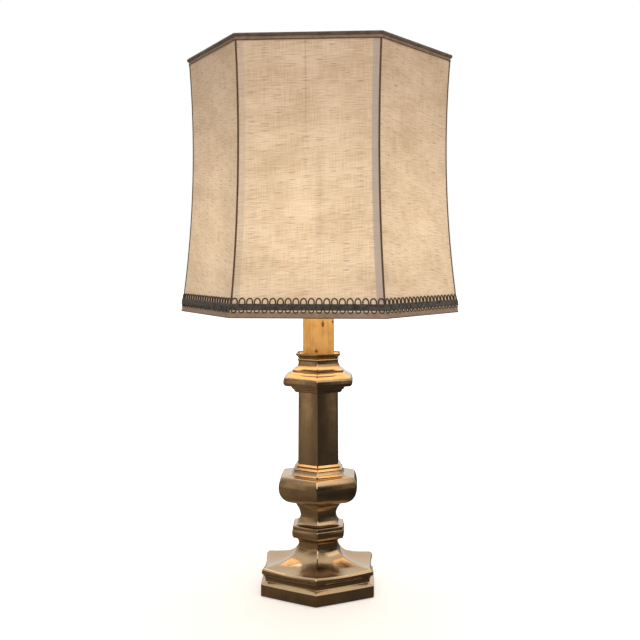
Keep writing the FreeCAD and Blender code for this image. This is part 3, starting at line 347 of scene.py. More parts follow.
@dataclass(frozen=True)
class SlubCloth(Finish):
    """Slubbed linen in plain weave: uneven weft threads with thick places, over a fine warp.

    Attributes:
        glow: the bulb's light in the cloth.
        weft: height of a weft thread in millimetres, drawn coarse so that it shows.
        warp: width of a warp thread, drawn coarse for the same reason.
        slub: length of a thick place in a weft thread.
        slub_colour: colour of the thick places, which let less light through.
        tape_colour: colour that the seam tapes behind the cloth give it, a painted shadow of the tapes in
            the bulb's light.
        tape_reach: how far from a corner the tapes' painted shadow ends.
        tape_edge: how soft that shadow's edge is.
        tape_faint: how much of that shadow shows on a panel's left half.
        tape_and_arm_shadows: whether the painted shadows of the tapes and of the frame's arms are drawn.
    """

    glow: Glow = Glow()
    weft: float = 0.8
    warp: float = 1.2
    slub: float = 26.0
    slub_colour: str = "#76583c"
    tape_colour: str = "#b2a49e"
    tape_reach: float = 9.5
    tape_edge: float = 1.2
    tape_faint: float = 0.35
    tape_and_arm_shadows: bool = True

    def dress(self, tree: Tree, shader: Node, where: Socket) -> None:
        """Threads on the cloth's own map, the bulb's glow, and the tapes and wires that shade it."""
        cloth = add(tree, "ShaderNodeUVMap", {}, uv_map="cloth").outputs[0]
        weft = grain(tree, cloth, (self.slub, self.weft, 1000), 2.5)
        warp = grain(tree, cloth, (self.warp, 26, 1000), 2.0)
        thick = grain(tree, cloth, (self.slub * 0.6, self.weft * 0.75, 1000), 0.5)
        clouds = grain(tree, cloth, (70, 34, 1000), 2.0)
        slubs = ramp(tree, thick, 0.60, 0.70)
        weave = weigh(tree, weft, warp, 0.62)
        mottled = weigh(tree, clouds, weave, 0.35)
        colour = blend(tree, ramp(tree, mottled, 0.36, 0.62), linear(self.second), linear(self.colour))
        colour = blend(tree, times(tree, slubs, 0.5), colour, linear(self.slub_colour))
        uneven = calc(tree, "MULTIPLY_ADD", mottled, 0.8, 0.6)
        uneven = times(tree, uneven, calc(tree, "MULTIPLY_ADD", slubs, -0.3, 1.0))
        light = times(tree, self.glow.field(tree, where), uneven)
        if self.tape_and_arm_shadows:
            # Painted shadows: seam tapes behind the cloth turn it greyer and dim its glow, and the frame's
            # arms darken both glow and colour.
            tape, wire = self.shadows(tree, where)
            colour = blend(tree, times(tree, tape, 0.8), colour, linear(self.tape_colour))
            dark = calc(tree, "MAXIMUM", times(tree, tape, 0.7), wire)
            light = times(tree, light, rest(tree, dark))
            colour = blend(tree, times(tree, wire, 0.5), colour, linear(self.slub_colour))
        feed(tree, shader, {
            "Base Color": colour,
            "Emission Color": blend(tree, 0.5, linear(self.glow.colour), colour),
            "Emission Strength": light,
            "Normal": relief(tree, weave, 0.35, 0.7),
            "Sheen Weight": 0.15,
            "Sheen Roughness": 0.5,
        })

    def shadows(self, tree: Tree, where: Socket) -> tuple[Socket, Socket]:
        """Shadows in every other panel, by the "panel" map: across it, and in from its nearest corner.

        Args:
            tree: the material's node tree.
            where: object coordinates.

        Returns:
            How much painted shadow the seam tapes put on the cloth, and how much the frame's arms do.
        """
        panel = split(tree, add(tree, "ShaderNodeUVMap", {}, uv_map="panel").outputs[0])
        across, inward = panel["X"], panel["Y"]
        even = calc(tree, "GREATER_THAN", inward, 0.0)
        edge = (self.tape_reach - self.tape_edge) * MM
        tape = rest(tree, ramp(tree, inward, edge, self.tape_reach * MM))
        # The tapes' painted shadow is fainter on a panel's left half.
        right = ramp(tree, across, -0.01, 0.01)
        faint = calc(tree, "MULTIPLY_ADD", right, 1 - self.tape_faint, self.tape_faint)
        height = split(tree, where)["Z"]
        sharp, soft = (shadow.field(tree, across, height) for shadow in ARM_SHADOWS)
        wire = calc(tree, "ADD", sharp, soft)
        return times(tree, times(tree, tape, faint), even), times(tree, wire, even)


@dataclass(frozen=True)
class Braid(Finish):
    """Rayon yarn laid into cords and tapes: fine ridges across the lie, with a soft sheen.

    Attributes:
        yarn: thickness of a yarn, in millimetres.
    """

    yarn: float = 0.9

    def dress(self, tree: Tree, shader: Node, where: Socket) -> None:
        """Slanting yarns over uneven dye."""
        turned = add(tree, "ShaderNodeMapping", {"Vector": where, "Rotation": (0.5, 0.6, 0.4)}).outputs[0]
        yarns = grain(tree, turned, (self.yarn, self.yarn * 6, self.yarn), 2.0)
        dye = grain(tree, where, (9, 9, 6), 3.0)
        feed(tree, shader, {
            "Base Color": self.tones(tree, weigh(tree, yarns, dye, 0.6)),
            "Normal": relief(tree, yarns, 0.25),
            "Sheen Weight": 0.3,
            "Sheen Roughness": 0.4,
        })


@dataclass(frozen=True)
class Glass(Finish):
    """Blown glass; frosted inside where it is rough.

    Attributes:
        lit: how strongly the filament's light shows in it.
        clear: how much light goes through.
    """

    lit: float = 0.0
    clear: float = 0.9

    def dress(self, tree: Tree, shader: Node, where: Socket) -> None:
        """Faint cloudiness in the frosting, and the light of the filament in it."""
        clouds = grain(tree, where, (self.patch,) * 3)
        feed(tree, shader, {
            "Base Color": blend(tree, clouds, linear(self.colour), linear(self.second)),
            "Transmission Weight": self.clear,
            "Emission Color": linear("#ffd9a0"),
            "Emission Strength": self.lit,
        })


# Brass castings with a bronze patina: mirror-smooth lacquer over brown metal.
BRONZE = Bronze("Antique bronze patina", "aged_bronze", "#938067", "#a99274", rough=0.19, metal=1.0)
# Tinted candle wax over card: warm honey with a satin skin.
WAX = Wax("Honey wax over card", "wax_tube", "#cda768", "#b58d50", rough=0.42, patch=11.0)
# Burnt wax drops: darker, harder and glossier than the tube.
DROP = Wax("Burnt wax drops", "wax_tube", "#6b3812", "#80491c", rough=0.3)
# Linen drawn over the frame: pinkish beige in daylight, golden where the bulb shines through.
COVER = SlubCloth("Slubbed linen", "slub_cloth", "#ceb9a3", "#b59b80", rough=0.85)
# Smooth cotton lining: pale, and bright next to the bulb.
LINING = SlubCloth(
    "Cotton lining", "lining_cloth", "#efe2cb", "#e6d4b6", rough=0.9,
    glow=Glow(strength=1.4, fall=1.3, colour="#ffe8c4"),
    weft=1.0, warp=1.0, slub_colour="#e0cda8", tape_and_arm_shadows=False,
)
# Rayon trims in taupe and dark brown.
TAPE = Braid("Taupe rayon tape", "trim_tape", "#7d6552", "#a08671", rough=0.7)
CORD = Braid("Dark taupe rayon cord", "trim_cord", "#4a3f33", "#6f5f4e", rough=0.65, yarn=0.7)
GIMP = Braid("Brown rayon gimp", "gimp", "#261b15", "#443326", rough=0.6, yarn=0.6)
PLAIT = Braid("Slate-brown rayon plait", "gimp", "#25221f", "#5c554e", rough=0.65, yarn=1.1)
HEM = Braid("Taupe hem cloth", "hem_cloth", "#8b7361", "#a48c78", rough=0.8)
SEAM = Braid("Brown seam piping", "gimp", "#4b3524", "#6a4c35", rough=0.75)
STRAP = Braid("Taupe twill tape", "seam_tape", "#9a8676", "#ab9889", rough=0.85)
# Pressed wool felt: matt and fuzzy.
FELT = Finish("Green wool felt", "felt", "#39452f", "#465339", rough=1.0, patch=6, fleck=0.6, depth=0.3)
# Zinc plate on mild steel: pale, cloudy, slightly blue.
ZINC = Finish("Zinc-plated steel", "zinc_steel", "#b9b7ae", "#9c9a92", rough=0.38, metal=1.0, patch=5)
SHEET = Finish("Zinc-plated sheet", "steel_sheet", "#b2b2b0", "#98989a", rough=0.4, metal=1.0, patch=9)
# Sand-cast iron: dark and pitted.
IRON = Finish(
    "Sand-cast iron", "cast_iron", "#3c3a38", "#4d4743", rough=0.75, metal=0.8, fleck=1.5, depth=0.4,
)
# Stove enamel on steel wire: cream, even.
ENAMEL = Finish("Cream enamel on wire", "frame_wire", "#e3d8c2", "#d3c5aa", rough=0.35, patch=18)
# Moulded urea plastic: ivory, faintly marbled, with a skin gloss.
IVORY = Finish(
    "Ivory urea moulding", "holder_plastic", "#ddd0b4", "#d2c29f", rough=0.28, patch=16, coat=0.2,
)
BROWN = Finish("Brown nylon moulding", "brown_plastic", "#4a3424", "#3d2a1c", rough=0.45, patch=8)
WHITE = Finish("White polyamide moulding", "white_plastic", "#e6e3da", "#d9d5c9", rough=0.5, patch=8)
PORCELAIN = Finish("Steatite porcelain", "porcelain", "#ece6d8", "#e0d8c6", rough=0.25, patch=7, coat=0.4)
# Rolled and turned brass: bright, drawn one way.
BRASS = Finish("Rolled brass strip", "brass_strip", "#d9b566", "#c49d4f", rough=0.3, metal=1.0, patch=6)
SCREWS = Finish("Turned brass screws", "brass_screws", "#cfa85a", "#b8924a", rough=0.35, metal=1.0, patch=3)
SOLDER = Finish("Tin solder", "solder", "#b8b8ba", "#a0a0a4", rough=0.35, metal=1.0, patch=2)
ALLOY = Finish("Rolled aluminium cap", "cap_metal", "#dcdad5", "#c5c3bd", rough=0.32, metal=1.0, patch=5)
VITRITE = Finish("Black vitrite glass", "black_glass", "#15120f", "#241f1a", rough=0.12, patch=3, coat=0.5)
TUNGSTEN = Finish("Tungsten wire", "tungsten", "#8d8a85", "#777470", rough=0.5, metal=1.0, patch=1)
LIVE = Finish("Brown wire insulation", "brown_lead", "#6b4226", "#5a361e", rough=0.4, patch=10)
NEUTRAL = Finish("Blue wire insulation", "blue_lead", "#2f6bb0", "#285d9b", rough=0.4, patch=10)
FROSTED = Glass("Frosted bulb glass", "frosted_glass", "#fff3e0", "#fbead0", rough=0.45, lit=1.6, clear=0.6)
CLEAR = Glass("Clear stem glass", "clear_glass", "#f4f4f0", "#ecece6", rough=0.05)

KEPT: dict[str, Finish] = {
    "base_plate": SHEET, "plate_screws": ZINC, "base_weight": IRON, "base_washer": ZINC, "base_nut": ZINC,
    "top_nut": ZINC, "stem_rod": ZINC, "cord_bushing": BROWN, "terminal_block": WHITE,
    "terminal_screws": SCREWS, "lead_live": LIVE, "lead_neutral": NEUTRAL, "lampholder_base": IVORY,
    "lampholder_shell": IVORY, "lampholder_core": PORCELAIN, "lampholder_liner": BRASS,
    "holder_screws": SCREWS, "centre_contact": BRASS, "side_contact": BRASS, "bulb_contact": SOLDER,
    "bulb_insulator": VITRITE, "bulb_cap": ALLOY, "bulb_glass": FROSTED, "bulb_stem": CLEAR,
    "filament": TUNGSTEN, "shade_ring": IVORY, "fitter_ring": ENAMEL, "spider_arms": ENAMEL,
    "top_frame_ring": ENAMEL, "bottom_frame_ring": ENAMEL, "frame_struts": ENAMEL,
}


# ---------------------------------------------------------------- Shaping

SHARP = math.radians(28)
SOFT = 60.0
FINE = 12


def low(node: str) -> float:
    """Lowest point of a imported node, in millimetres."""
    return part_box(node)[0][2] / MM


def high(node: str) -> float:
    """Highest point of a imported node, in millimetres."""
    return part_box(node)[1][2] / MM


class Outline:
    """Half outline of a piece round the lamp's axis, in millimetres: corner radius and height."""

    def __init__(self, radius: float, height: float) -> None:
        """Starts at a point."""
        self.points: Points = [(radius, height)]

    def line(self, radius: float, height: float) -> "Outline":
        """Goes straight to a point."""
        self.points.append((radius, height))
        return self

    def arc(self, radius: float, height: float, bulge: float, steps: int = 8) -> "Outline":
        """Goes to a point along an arc that stands out from its chord, to the right of the way."""
        r0, z0 = self.points[-1]
        run, rise = radius - r0, height - z0
        chord = math.hypot(run, rise)
        half = 2 * math.atan(2 * abs(bulge) / chord)
        bend = chord / 2 / math.sin(half)
        side = math.copysign(1, bulge)
        for n in range(1, steps + 1):
            angle = half * (2 * n / steps - 1)
            along = 0.5 + bend * math.sin(angle) / chord
            out = side * bend * (math.cos(angle) - math.cos(half)) / chord
            self.points.append((r0 + along * run + out * rise, z0 + along * rise - out * run))
        return self

    def sweep(self, radius: float, height: float, steps: int = 14) -> "Outline":
        """Goes to a point along a quarter ellipse that leaves level and ends upright."""
        r0, z0 = self.points[-1]
        for n in range(1, steps + 1):
            angle = math.pi / 2 * n / steps
            out, up = math.sin(angle), 1 - math.cos(angle)
            self.points.append((r0 + (radius - r0) * out, z0 + (height - z0) * up))
        return self


def edit_mesh() -> bmesh.types.BMesh:
    """The mesh in edit mode."""
    return bmesh.from_edit_mesh(bpy.context.edit_object.data)


def update_mesh() -> None:
    """Shows the changes made to the mesh in edit mode."""
    bmesh.update_edit_mesh(bpy.context.edit_object.data)


def select_only(*pieces: Piece) -> None:
    """Selects these pieces and no others, with the first one active."""
    bpy.ops.object.select_all(action="DESELECT")
    for piece in pieces:
        piece.select_set(True)
    bpy.context.view_layer.objects.active = pieces[0]


def ring_start(name: str, sides: int, radius: float, height: float, turn: float) -> Piece:
    """A filled circle in edit mode, ready to be drawn up."""
    place = (0, 0, height * MM)
    bpy.ops.mesh.primitive_circle_add(vertices=sides, radius=radius * MM, fill_type="NGON", location=place)
    piece = bpy.context.object
    piece.name = name
    piece.rotation_euler = (0, 0, math.radians(turn))
    bpy.ops.object.transform_apply(location=True, rotation=False, scale=False)
    bpy.ops.object.mode_set(mode="EDIT")
    bpy.ops.mesh.select_mode(type="FACE")
    bpy.ops.mesh.select_all(action="SELECT")
    return piece


def lateral_share(point: Vector) -> float:
    """How far a point is from the middle of its side, as a share of the way to the corner."""
    off = (math.atan2(point.x, point.y) - HALF_TURN) % SIDE_TURN
    off = off - SIDE_TURN if off > HALF_TURN else off
    return math.tan(off) / TAN30


def flatten_to_hexagon(crown: float) -> None:
    """Moves a circle's points in to six sides, each crowned by a share of the radius."""
    mesh = edit_mesh()
    for vert in mesh.verts:
        lateral = lateral_share(vert.co)
        off = math.atan(lateral * TAN30)
        radius = vert.co.xy.length
        reach = radius * (COS30 + crown * (1 - lateral * lateral)) / math.cos(off)
        vert.co.xy = vert.co.xy.normalized() * reach
    update_mesh()


def draw_up(points: Points) -> None:
    """Extrudes the selected face through the outline's points, scaling it at each."""
    for (r0, z0), (r1, z1) in zip(points, points[1:]):
        bpy.ops.mesh.extrude_region_move(TRANSFORM_OT_translate={"value": (0, 0, (z1 - z0) * MM)})
        if abs(r1 - r0) > 1e-6:
            bpy.ops.transform.resize(value=(r1 / r0, r1 / r0, 1), center_override=(0, 0, z1 * MM))


def close_section() -> None:
    """Takes the two end faces away and joins the last ring to the first, which closes a band."""
    mesh = edit_mesh()
    for face in mesh.faces:
        face.select_set(len(face.verts) > 4)
    update_mesh()
    bpy.ops.mesh.delete(type="FACE")
    bpy.ops.mesh.select_mode(type="EDGE")
    bpy.ops.mesh.select_all(action="SELECT")
    mesh = edit_mesh()
    for edge in mesh.edges:
        edge.select_set(edge.is_boundary)
    update_mesh()
    bpy.ops.mesh.bridge_edge_loops()


def face_out() -> None:
    """Turns every face outwards."""
    bpy.ops.mesh.select_all(action="SELECT")
    bpy.ops.mesh.normals_make_consistent(inside=False)


def round_mitres(width: float) -> None:
    """Bevels the six edges where the sides meet."""
    bpy.ops.mesh.select_mode(type="EDGE")
    bpy.ops.mesh.select_all(action="DESELECT")
    mesh = edit_mesh()
    for edge in mesh.edges:
        edge.select_set(edge_upright(edge) and all(at_corner(vert.co) for vert in edge.verts))
    update_mesh()
    bpy.ops.mesh.bevel(offset=width * MM, offset_type="OFFSET", segments=4, affect="EDGES")


def at_corner(point: Vector) -> bool:
    """Whether a point is within half a degree of a corner."""
    angle = math.degrees(math.atan2(point.x, point.y)) % 60
    return min(angle, 60 - angle) < 0.5


def edge_upright(edge: bmesh.types.BMEdge) -> bool:
    """Whether an edge lies in a plane through the axis, and not along a ring."""
    a, b = (v.co.xy for v in edge.verts)
    return a.normalized().dot(b.normalized()) > 0.99


def modify(piece: Piece, kind: str, **settings: object) -> None:
    """Adds a modifier and applies it."""
    modifier = piece.modifiers.new(kind.title(), kind)
    for name, value in settings.items():
        setattr(modifier, name, value)
    bpy.context.view_layer.objects.active = piece
    bpy.ops.object.modifier_apply(modifier=modifier.name)


def finish_piece(
    piece: Piece,
    finish: Finish,
    body: str,
    nodes: tuple[str, ...] = (),
    smooth: float = 32.0,
    crisp: bool = False,
) -> Piece:
    """Leaves edit mode, smooths, dresses and hands over a piece.

    Args:
        piece: the new piece.
        finish: what it is made of.
        body: the body that it rides on.
        nodes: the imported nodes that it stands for.
        smooth: the largest angle in degrees that is smoothed over.
        crisp: whether wide faces stay flat up to their rounded edges.

    Returns:
        The piece.
    """
    if piece.mode == "EDIT":
        bpy.ops.object.mode_set(mode="OBJECT")
    select_only(piece)
    bpy.ops.object.transform_apply(location=True, rotation=True, scale=True)
    bpy.ops.object.shade_smooth_by_angle(angle=math.radians(smooth))
    if crisp:
        modify(piece, "WEIGHTED_NORMAL", keep_sharp=True)
    piece.data.materials.clear()
    piece.data.materials.append(finish.material())
    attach(piece, body)
    if nodes:
        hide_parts(*nodes)
    log.info("%s: %d faces", piece.name, len(piece.data.polygons))
    return piece


def tube(
    name: str,
    lines: list[list[Vector]],
    radius: float,
    finish: Finish,
    nodes: tuple[str, ...] = (),
    closed: bool = True,
    sides: int = 1,
) -> Piece:
    """Round cords on the shade, along lines of points, as one piece.

    Args:
        name: the piece's name.
        lines: the points of each cord, in metres.
        radius: the cords' radius in millimetres.
        finish: what they are made of.
        nodes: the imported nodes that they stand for.
        closed: whether each cord joins its own start.
        sides: how finely the cord is rounded.

    Returns:
        The piece.
    """
    curve = bpy.data.curves.new(name, "CURVE")
    curve.dimensions = "3D"
    curve.bevel_depth = radius * MM
    curve.bevel_resolution = sides
    curve.use_fill_caps = not closed
    for line in lines:
        spline = curve.splines.new("POLY")
        spline.points.add(len(line) - 1)
        for point, place in zip(spline.points, line):
            point.co = (*place, 1.0)
        spline.use_cyclic_u = closed
    piece = bpy.data.objects.new(name, curve)
    bpy.context.scene.collection.objects.link(piece)
    select_only(piece)
    bpy.ops.object.convert(target="MESH")
    return finish_piece(bpy.context.object, finish, SHADE, nodes, smooth=SOFT)


# ---------------------------------------------------------------- Stem castings


@dataclass
class Casting:
    """One casting of the stem; all sizes are in millimetres, and radii are corner radii.

    Attributes:
        node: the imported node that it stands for.
        mitre: width of the rounding along the six edges.
        arris: width of the rounding along the mouldings' sharp edges.
        crown: how far each side swells, as a share of the radius.
    """

    node: str
    mitre: float = 1.0
    arris: float = 0.35
    crown: float = 0.008

    def outline(self) -> Outline:
        """The casting's outline."""
        raise NotImplementedError

    def build(self) -> Piece:
        """Draws the outline up as a six-sided solid with rounded edges."""
        points = self.outline().points
        piece = ring_start(f"{self.node}_casting", 36, *points[0], turn=0)
        flatten_to_hexagon(self.crown)
        draw_up(points)
        self.shape_sides()
        face_out()
        round_mitres(self.mitre)
        bpy.ops.object.mode_set(mode="OBJECT")
        modify(
            piece, "BEVEL", width=self.arris * MM, segments=2,
            limit_method="ANGLE", angle_limit=SHARP, use_clamp_overlap=False,
        )
        self.cut(piece)
        return finish_piece(piece, BRONZE, STEM, (self.node,), crisp=True)

    def shape_sides(self) -> None:
        """What shapes the sides further while the mesh is edited; most stay as drawn."""

    def cut(self, piece: Piece) -> None:
        """Holes that go into the casting from outside; most have none."""


@dataclass
class Foot(Casting):
    """Plinth with a bevel, cove and bullnose rim, swept up to the neck.

    Between its corners the rim is hollowed by "hollow" and dips by "dip", and the swept top with it.
    """

    mitre: float = 1.3
    corner: float = 82.3
    plinth: float = 14.5
    bevel_rise: float = 4.2
    bevel_in: float = 6.3
    cove_rise: float = 8.6
    cove_bulge: float = 1.2
    rim: float = 81.2
    rim_undercut: float = 1.4
    rim_rise: float = 8.0
    rim_in: float = 5.5
    neck: float = 28.5
    sweep_rise: float = 23.9
    hollow: float = 3.0
    dip: float = 3.0
    neck_rise: float = 3.0
    flare_rise: float = 6.5
    flare_bulge: float = 0.8
    seat: float = 32.4
    rebate: float = 77.9
    rebate_depth: float = 2.7
    inlet_height: float = 9.6
    inlet_radius: float = 4.8
    inlet_depth: float = 20.0
    inlet_turn: float = 30.0

    def outline(self) -> Outline:
        """From the rebate under the plinth round its edge and up to the neck."""
        z = low(self.node)
        top = z + self.plinth
        cove = top + self.bevel_rise
        rim = cove + self.cove_rise
        plate = rim + self.rim_rise
        neck = plate + self.sweep_rise
        path = Outline(self.rebate, z + self.rebate_depth).line(self.rebate, z)
        path.line(self.corner, z).line(self.corner, top).line(self.corner - self.bevel_in, cove)
        path.arc(self.rim - self.rim_undercut, rim, -self.cove_bulge)
        path.line(self.rim, rim + self.rim_undercut / 2).line(self.rim, rim + self.rim_rise / 2)
        path.arc(self.rim - self.rim_in, plate, self.rim_undercut)
        path.sweep(self.neck, neck, 20).line(self.neck, neck + self.neck_rise)
        return path.arc(self.seat, neck + self.neck_rise + self.flare_rise, -self.flare_bulge)

    def shape_sides(self) -> None:
        """Hollows the rim and the swept top between their corners, and lets them dip there."""
        rim = low(self.node) + self.plinth + self.bevel_rise + self.cove_rise
        plate = rim + self.rim_rise
        neck = plate + self.sweep_rise
        for vert in edit_mesh().verts:
            z = vert.co.z / MM
            if rim - 1 < z < neck:
                share = 1 - lateral_share(vert.co) ** 2
                share *= 1 - max(0.0, z - plate) / self.sweep_rise
                sunk = min(1.0, max(0.0, z - rim) / self.rim_rise)
                vert.co.xy -= vert.co.xy.normalized() * self.hollow * share * MM
                vert.co.z -= self.dip * share * sunk * MM
        update_mesh()

    def cut(self, piece: Piece) -> None:
        """The lead's hole through the back of the plinth."""
        turn = math.radians(self.inlet_turn)
        reach = self.corner * COS30 * MM
        bpy.ops.mesh.primitive_cylinder_add(
            vertices=32, radius=self.inlet_radius * MM, depth=self.inlet_depth * MM,
            location=(-math.sin(turn) * reach, math.cos(turn) * reach, self.inlet_height * MM),
            rotation=(math.pi / 2, 0, turn),
        )
        drill = bpy.context.object
        modify(piece, "BOOLEAN", operation="DIFFERENCE", solver="EXACT", object=drill)
        bpy.data.objects.remove(drill)


@dataclass
class LowerRing(Casting):
    """Ring moulding, bead and waisted neck."""

    edge: float = 36.4
    top: float = 37.3
    rise: float = 10.9
    bulge: float = 1.3
    bead_in: float = 0.8
    bead_rise: float = 4.6
    bead_bulge: float = 0.6
    flare: float = 34.6
    waist: float = 25.8
    waist_low: float = 13.2
    waist_high: float = 13.8
    flare_bulge: float = 1.2
    seat: float = 31.8
    seat_rise: float = 3.0

    def outline(self) -> Outline:
        """From the ring's underside to the knop's seat."""
        z = low(self.node)
        bead = z + self.rise
        flare = bead + self.bead_rise
        waist = flare + self.waist_low
        seat = waist + self.waist_high
        path = Outline(self.edge, z).arc(self.top, bead, self.bulge)
        path.line(self.top - self.bead_in, bead).arc(self.top - self.bead_in, flare, self.bead_bulge)
        path.line(self.flare, flare).sweep(self.waist, waist)
        path.arc(self.seat, seat, -self.flare_bulge, FINE)
        return path.line(self.seat, seat + self.seat_rise)


@dataclass
class Knop(Casting):
    """The bulging knop, its flat shoulder and flared seat."""

    mitre: float = 1.6
    seat: float = 31.8
    under: float = 42.5
    under_rise: float = 1.2
    wide: float = 57.3
    low_rise: float = 19.8
    low_bulge: float = 4.3
    high_rise: float = 12.8
    high_bulge: float = 1.0
    shoulder: float = 53.4
    edge_in: float = 2.4
    edge_rise: float = 1.2
    dish: float = 40.5
    dish_rise: float = 0.6
    flare_rise: float = 6.2
    flare_bulge: float = 1.0
    top: float = 35.2

    def outline(self) -> Outline:
        """From the underside round the swell to the collar's seat."""
        z = low(self.node)
        under = z + self.under_rise
        wide = under + self.low_rise
        edge = wide + self.high_rise
        lip = edge + self.edge_rise
        dish = lip + self.dish_rise
        path = Outline(self.seat, z).line(self.under, under)
        path.arc(self.wide, wide, self.low_bulge, 16).arc(self.shoulder, edge, self.high_bulge)
        path.arc(self.shoulder - self.edge_in, lip, self.edge_rise / 3, 4).line(self.dish, dish)
        return path.arc(self.top, dish + self.flare_rise, -self.flare_bulge)


@dataclass
class Collar(Casting):
    """Two stepped rings under the column."""

    mitre: float = 0.9
    arris: float = 0.3
    lower: float = 35.8
    upper: float = 32.9
    groove: float = 31.4
    lip: float = 0.9
    slope: float = 2.5
    groove_rise: float = 1.0
    top: float = 29.4

    def outline(self) -> Outline:
        """Two lips, each with a slope over it."""
        z = low(self.node)
        first = z + self.lip + self.slope
        second = first + self.groove_rise
        path = Outline(self.lower - self.lip, z).line(self.lower, z + self.lip).line(self.upper, first)
        path.line(self.groove, first).line(self.groove, second).line(self.upper, second + self.lip)
        return path.line(self.top, second + self.lip + self.slope)


@dataclass
class Column(Casting):
    """Plain shaft, hardly tapered."""

    mitre: float = 0.8
    crown: float = 0.012
    foot: float = 29.4
    top: float = 28.6
    rise: float = 92.3
    lengths: int = 8

    def outline(self) -> Outline:
        """The shaft in equal lengths."""
        z = low(self.node)
        path = Outline(self.foot, z)
        for n in range(1, self.lengths + 1):
            share = n / self.lengths
            path.line(self.foot + (self.top - self.foot) * share, z + self.rise * share)
        return path


@dataclass
class Capital(Casting):
    """Two ovolos, the wide torus, a shoulder and the swept neck with its bead."""

    mitre: float = 1.1
    first: float = 32.4
    first_top: float = 35.3
    first_rise: float = 4.0
    step: float = 1.0
    second_top: float = 39.2
    second_rise: float = 4.4
    ovolo_bulge: float = 0.8
    torus_under: float = 46.6
    torus: float = 50.3
    torus_low: float = 5.2
    low_bulge: float = 1.3
    torus_high: float = 9.4
    high_bulge: float = 2.6
    torus_top: float = 42.0
    shoulder: float = 37.0
    shoulder_rise: float = 3.0
    shoulder_bulge: float = 0.7
    fillet_rise: float = 2.4
    neck: float = 28.6
    sweep_rise: float = 11.2
    bead_rise: float = 3.2
    bead_bulge: float = 1.1

    def outline(self) -> Outline:
        """From the column's top to the drip cup's seat."""
        z = low(self.node)
        first = z + self.first_rise
        under = first + self.second_rise
        wide = under + self.torus_low
        top = wide + self.torus_high
        fillet = top + self.shoulder_rise
        sweep = fillet + self.fillet_rise
        neck = sweep + self.sweep_rise
        path = Outline(self.first, z).arc(self.first_top, first, self.ovolo_bulge)
        path.line(self.first_top + self.step, first).arc(self.second_top, under, self.ovolo_bulge)
        path.line(self.torus_under, under).arc(self.torus, wide, self.low_bulge)
        path.arc(self.torus_top, top, self.high_bulge, FINE)
        path.arc(self.shoulder, fillet, self.shoulder_bulge).line(self.shoulder, sweep)
        return path.sweep(self.neck, neck).arc(self.neck, neck + self.bead_rise, self.bead_bulge)


@dataclass
class DripCup(Casting):
    """Thin flared cup round the candle's foot."""

    mitre: float = 0.8
    arris: float = 0.25
    crown: float = 0.004
    foot: float = 28.17
    lip: float = 32.37
    flare_rise: float = 4.4
    flare_bulge: float = 0.5
    wall: float = 1.62
    floor: float = 1.6

    def outline(self) -> Outline:
        """Up the outside, over the lip and down to the cup's floor."""
        z = low(self.node)
        rim = high(self.node)
        flare = z + self.flare_rise
        path = Outline(self.foot, z).arc(self.lip, flare, -self.flare_bulge).line(self.lip, rim)
        path.line(self.lip - self.wall, rim).line(self.lip - self.wall, flare + self.floor / 2)
        return path.arc(self.foot - self.wall, z + self.floor, self.flare_bulge)


# ---------------------------------------------------------------- Candle


@dataclass
class Candle:
    """The wax-dipped tube in the drip cup, in millimetres.

    Attributes:
        radius: the tube's outer radius.
        wall: its thickness.
        lip: how far its upper edge is rounded.
        rings: how many lengths it is drawn in.
        waver: how uneven the wax is.
        drops: each wax drop's turn from the front in degrees, height, half width and half height.
    """

    radius: float = 20.0
    wall: float = 1.8
    lip: float = 0.8
    rings: int = 36
    waver: float = 0.28
    drops: tuple[tuple[float, float, float, float], ...] = (
        (18.5, 344.2, 1.8, 4.3),
        (66.0, 346.6, 2.0, 2.0),
        (-6.0, 310.0, 2.0, 2.6),
        (150.0, 338.0, 1.7, 4.6),
        (-118.0, 349.0, 1.6, 3.4),
        (-170.0, 322.0, 1.5, 3.0),
    )

    def build(self) -> None:
        """The tube and the drops that ran down it."""
        bottom, top = low("candle_sleeve"), high("candle_sleeve")
        inner = self.radius - self.wall
        height = top - self.lip - bottom
        points = [(self.radius, bottom + height * n / self.rings) for n in range(self.rings + 1)]
        points += [(self.radius - self.lip * 0.3, top - self.lip * 0.3), (self.radius - self.lip, top)]
        points += [(inner, top), (inner, bottom)]
        tube_piece = ring_start("candle_tube", 72, *points[0], turn=0)
        draw_up(points)
        close_section()
        face_out()
        mesh = edit_mesh()
        for vert in mesh.verts:
            if vert.co.xy.length > (inner + 0.2) * MM:
                place = Vector((vert.co.x / (9 * MM), vert.co.y / (9 * MM), vert.co.z / (24 * MM)))
                vert.co.xy *= 1 + self.waver / self.radius * (noise.noise(place) - 0.2)
        update_mesh()
        finish_piece(tube_piece, WAX, STEM, ("candle_sleeve",))
        for number, drop in enumerate(self.drops):
            self.drop(number, *drop)

    def drop(self, number: int, turn: float, height: float, half_width: float, half_height: float) -> None:
        """One teardrop of wax, its point up."""
        angle = math.radians(turn)
        place = Vector((math.sin(angle) * self.radius, -math.cos(angle) * self.radius, height)) * MM
        bpy.ops.mesh.primitive_uv_sphere_add(segments=24, ring_count=14, radius=1, location=place)
        piece = bpy.context.object
        piece.name = f"wax_drop_{number}"
        piece.rotation_euler = (0, 0, angle)
        piece.scale = (half_width * MM, 0.55 * half_width * MM, half_height * MM)
        bpy.ops.object.mode_set(mode="EDIT")
        for vert in edit_mesh().verts:
            pinch = 1 - 0.55 * max(0.0, vert.co.z) ** 1.2
            vert.co.x *= pinch
            vert.co.y *= pinch
        update_mesh()
        finish_piece(piece, DROP, STEM, smooth=SOFT)


# ---------------------------------------------------------------- Shade


class Edge(Enum):
    """Which edge of the shade a tape folds over; its value points out over that edge."""

    TOP = 1
    BOTTOM = -1


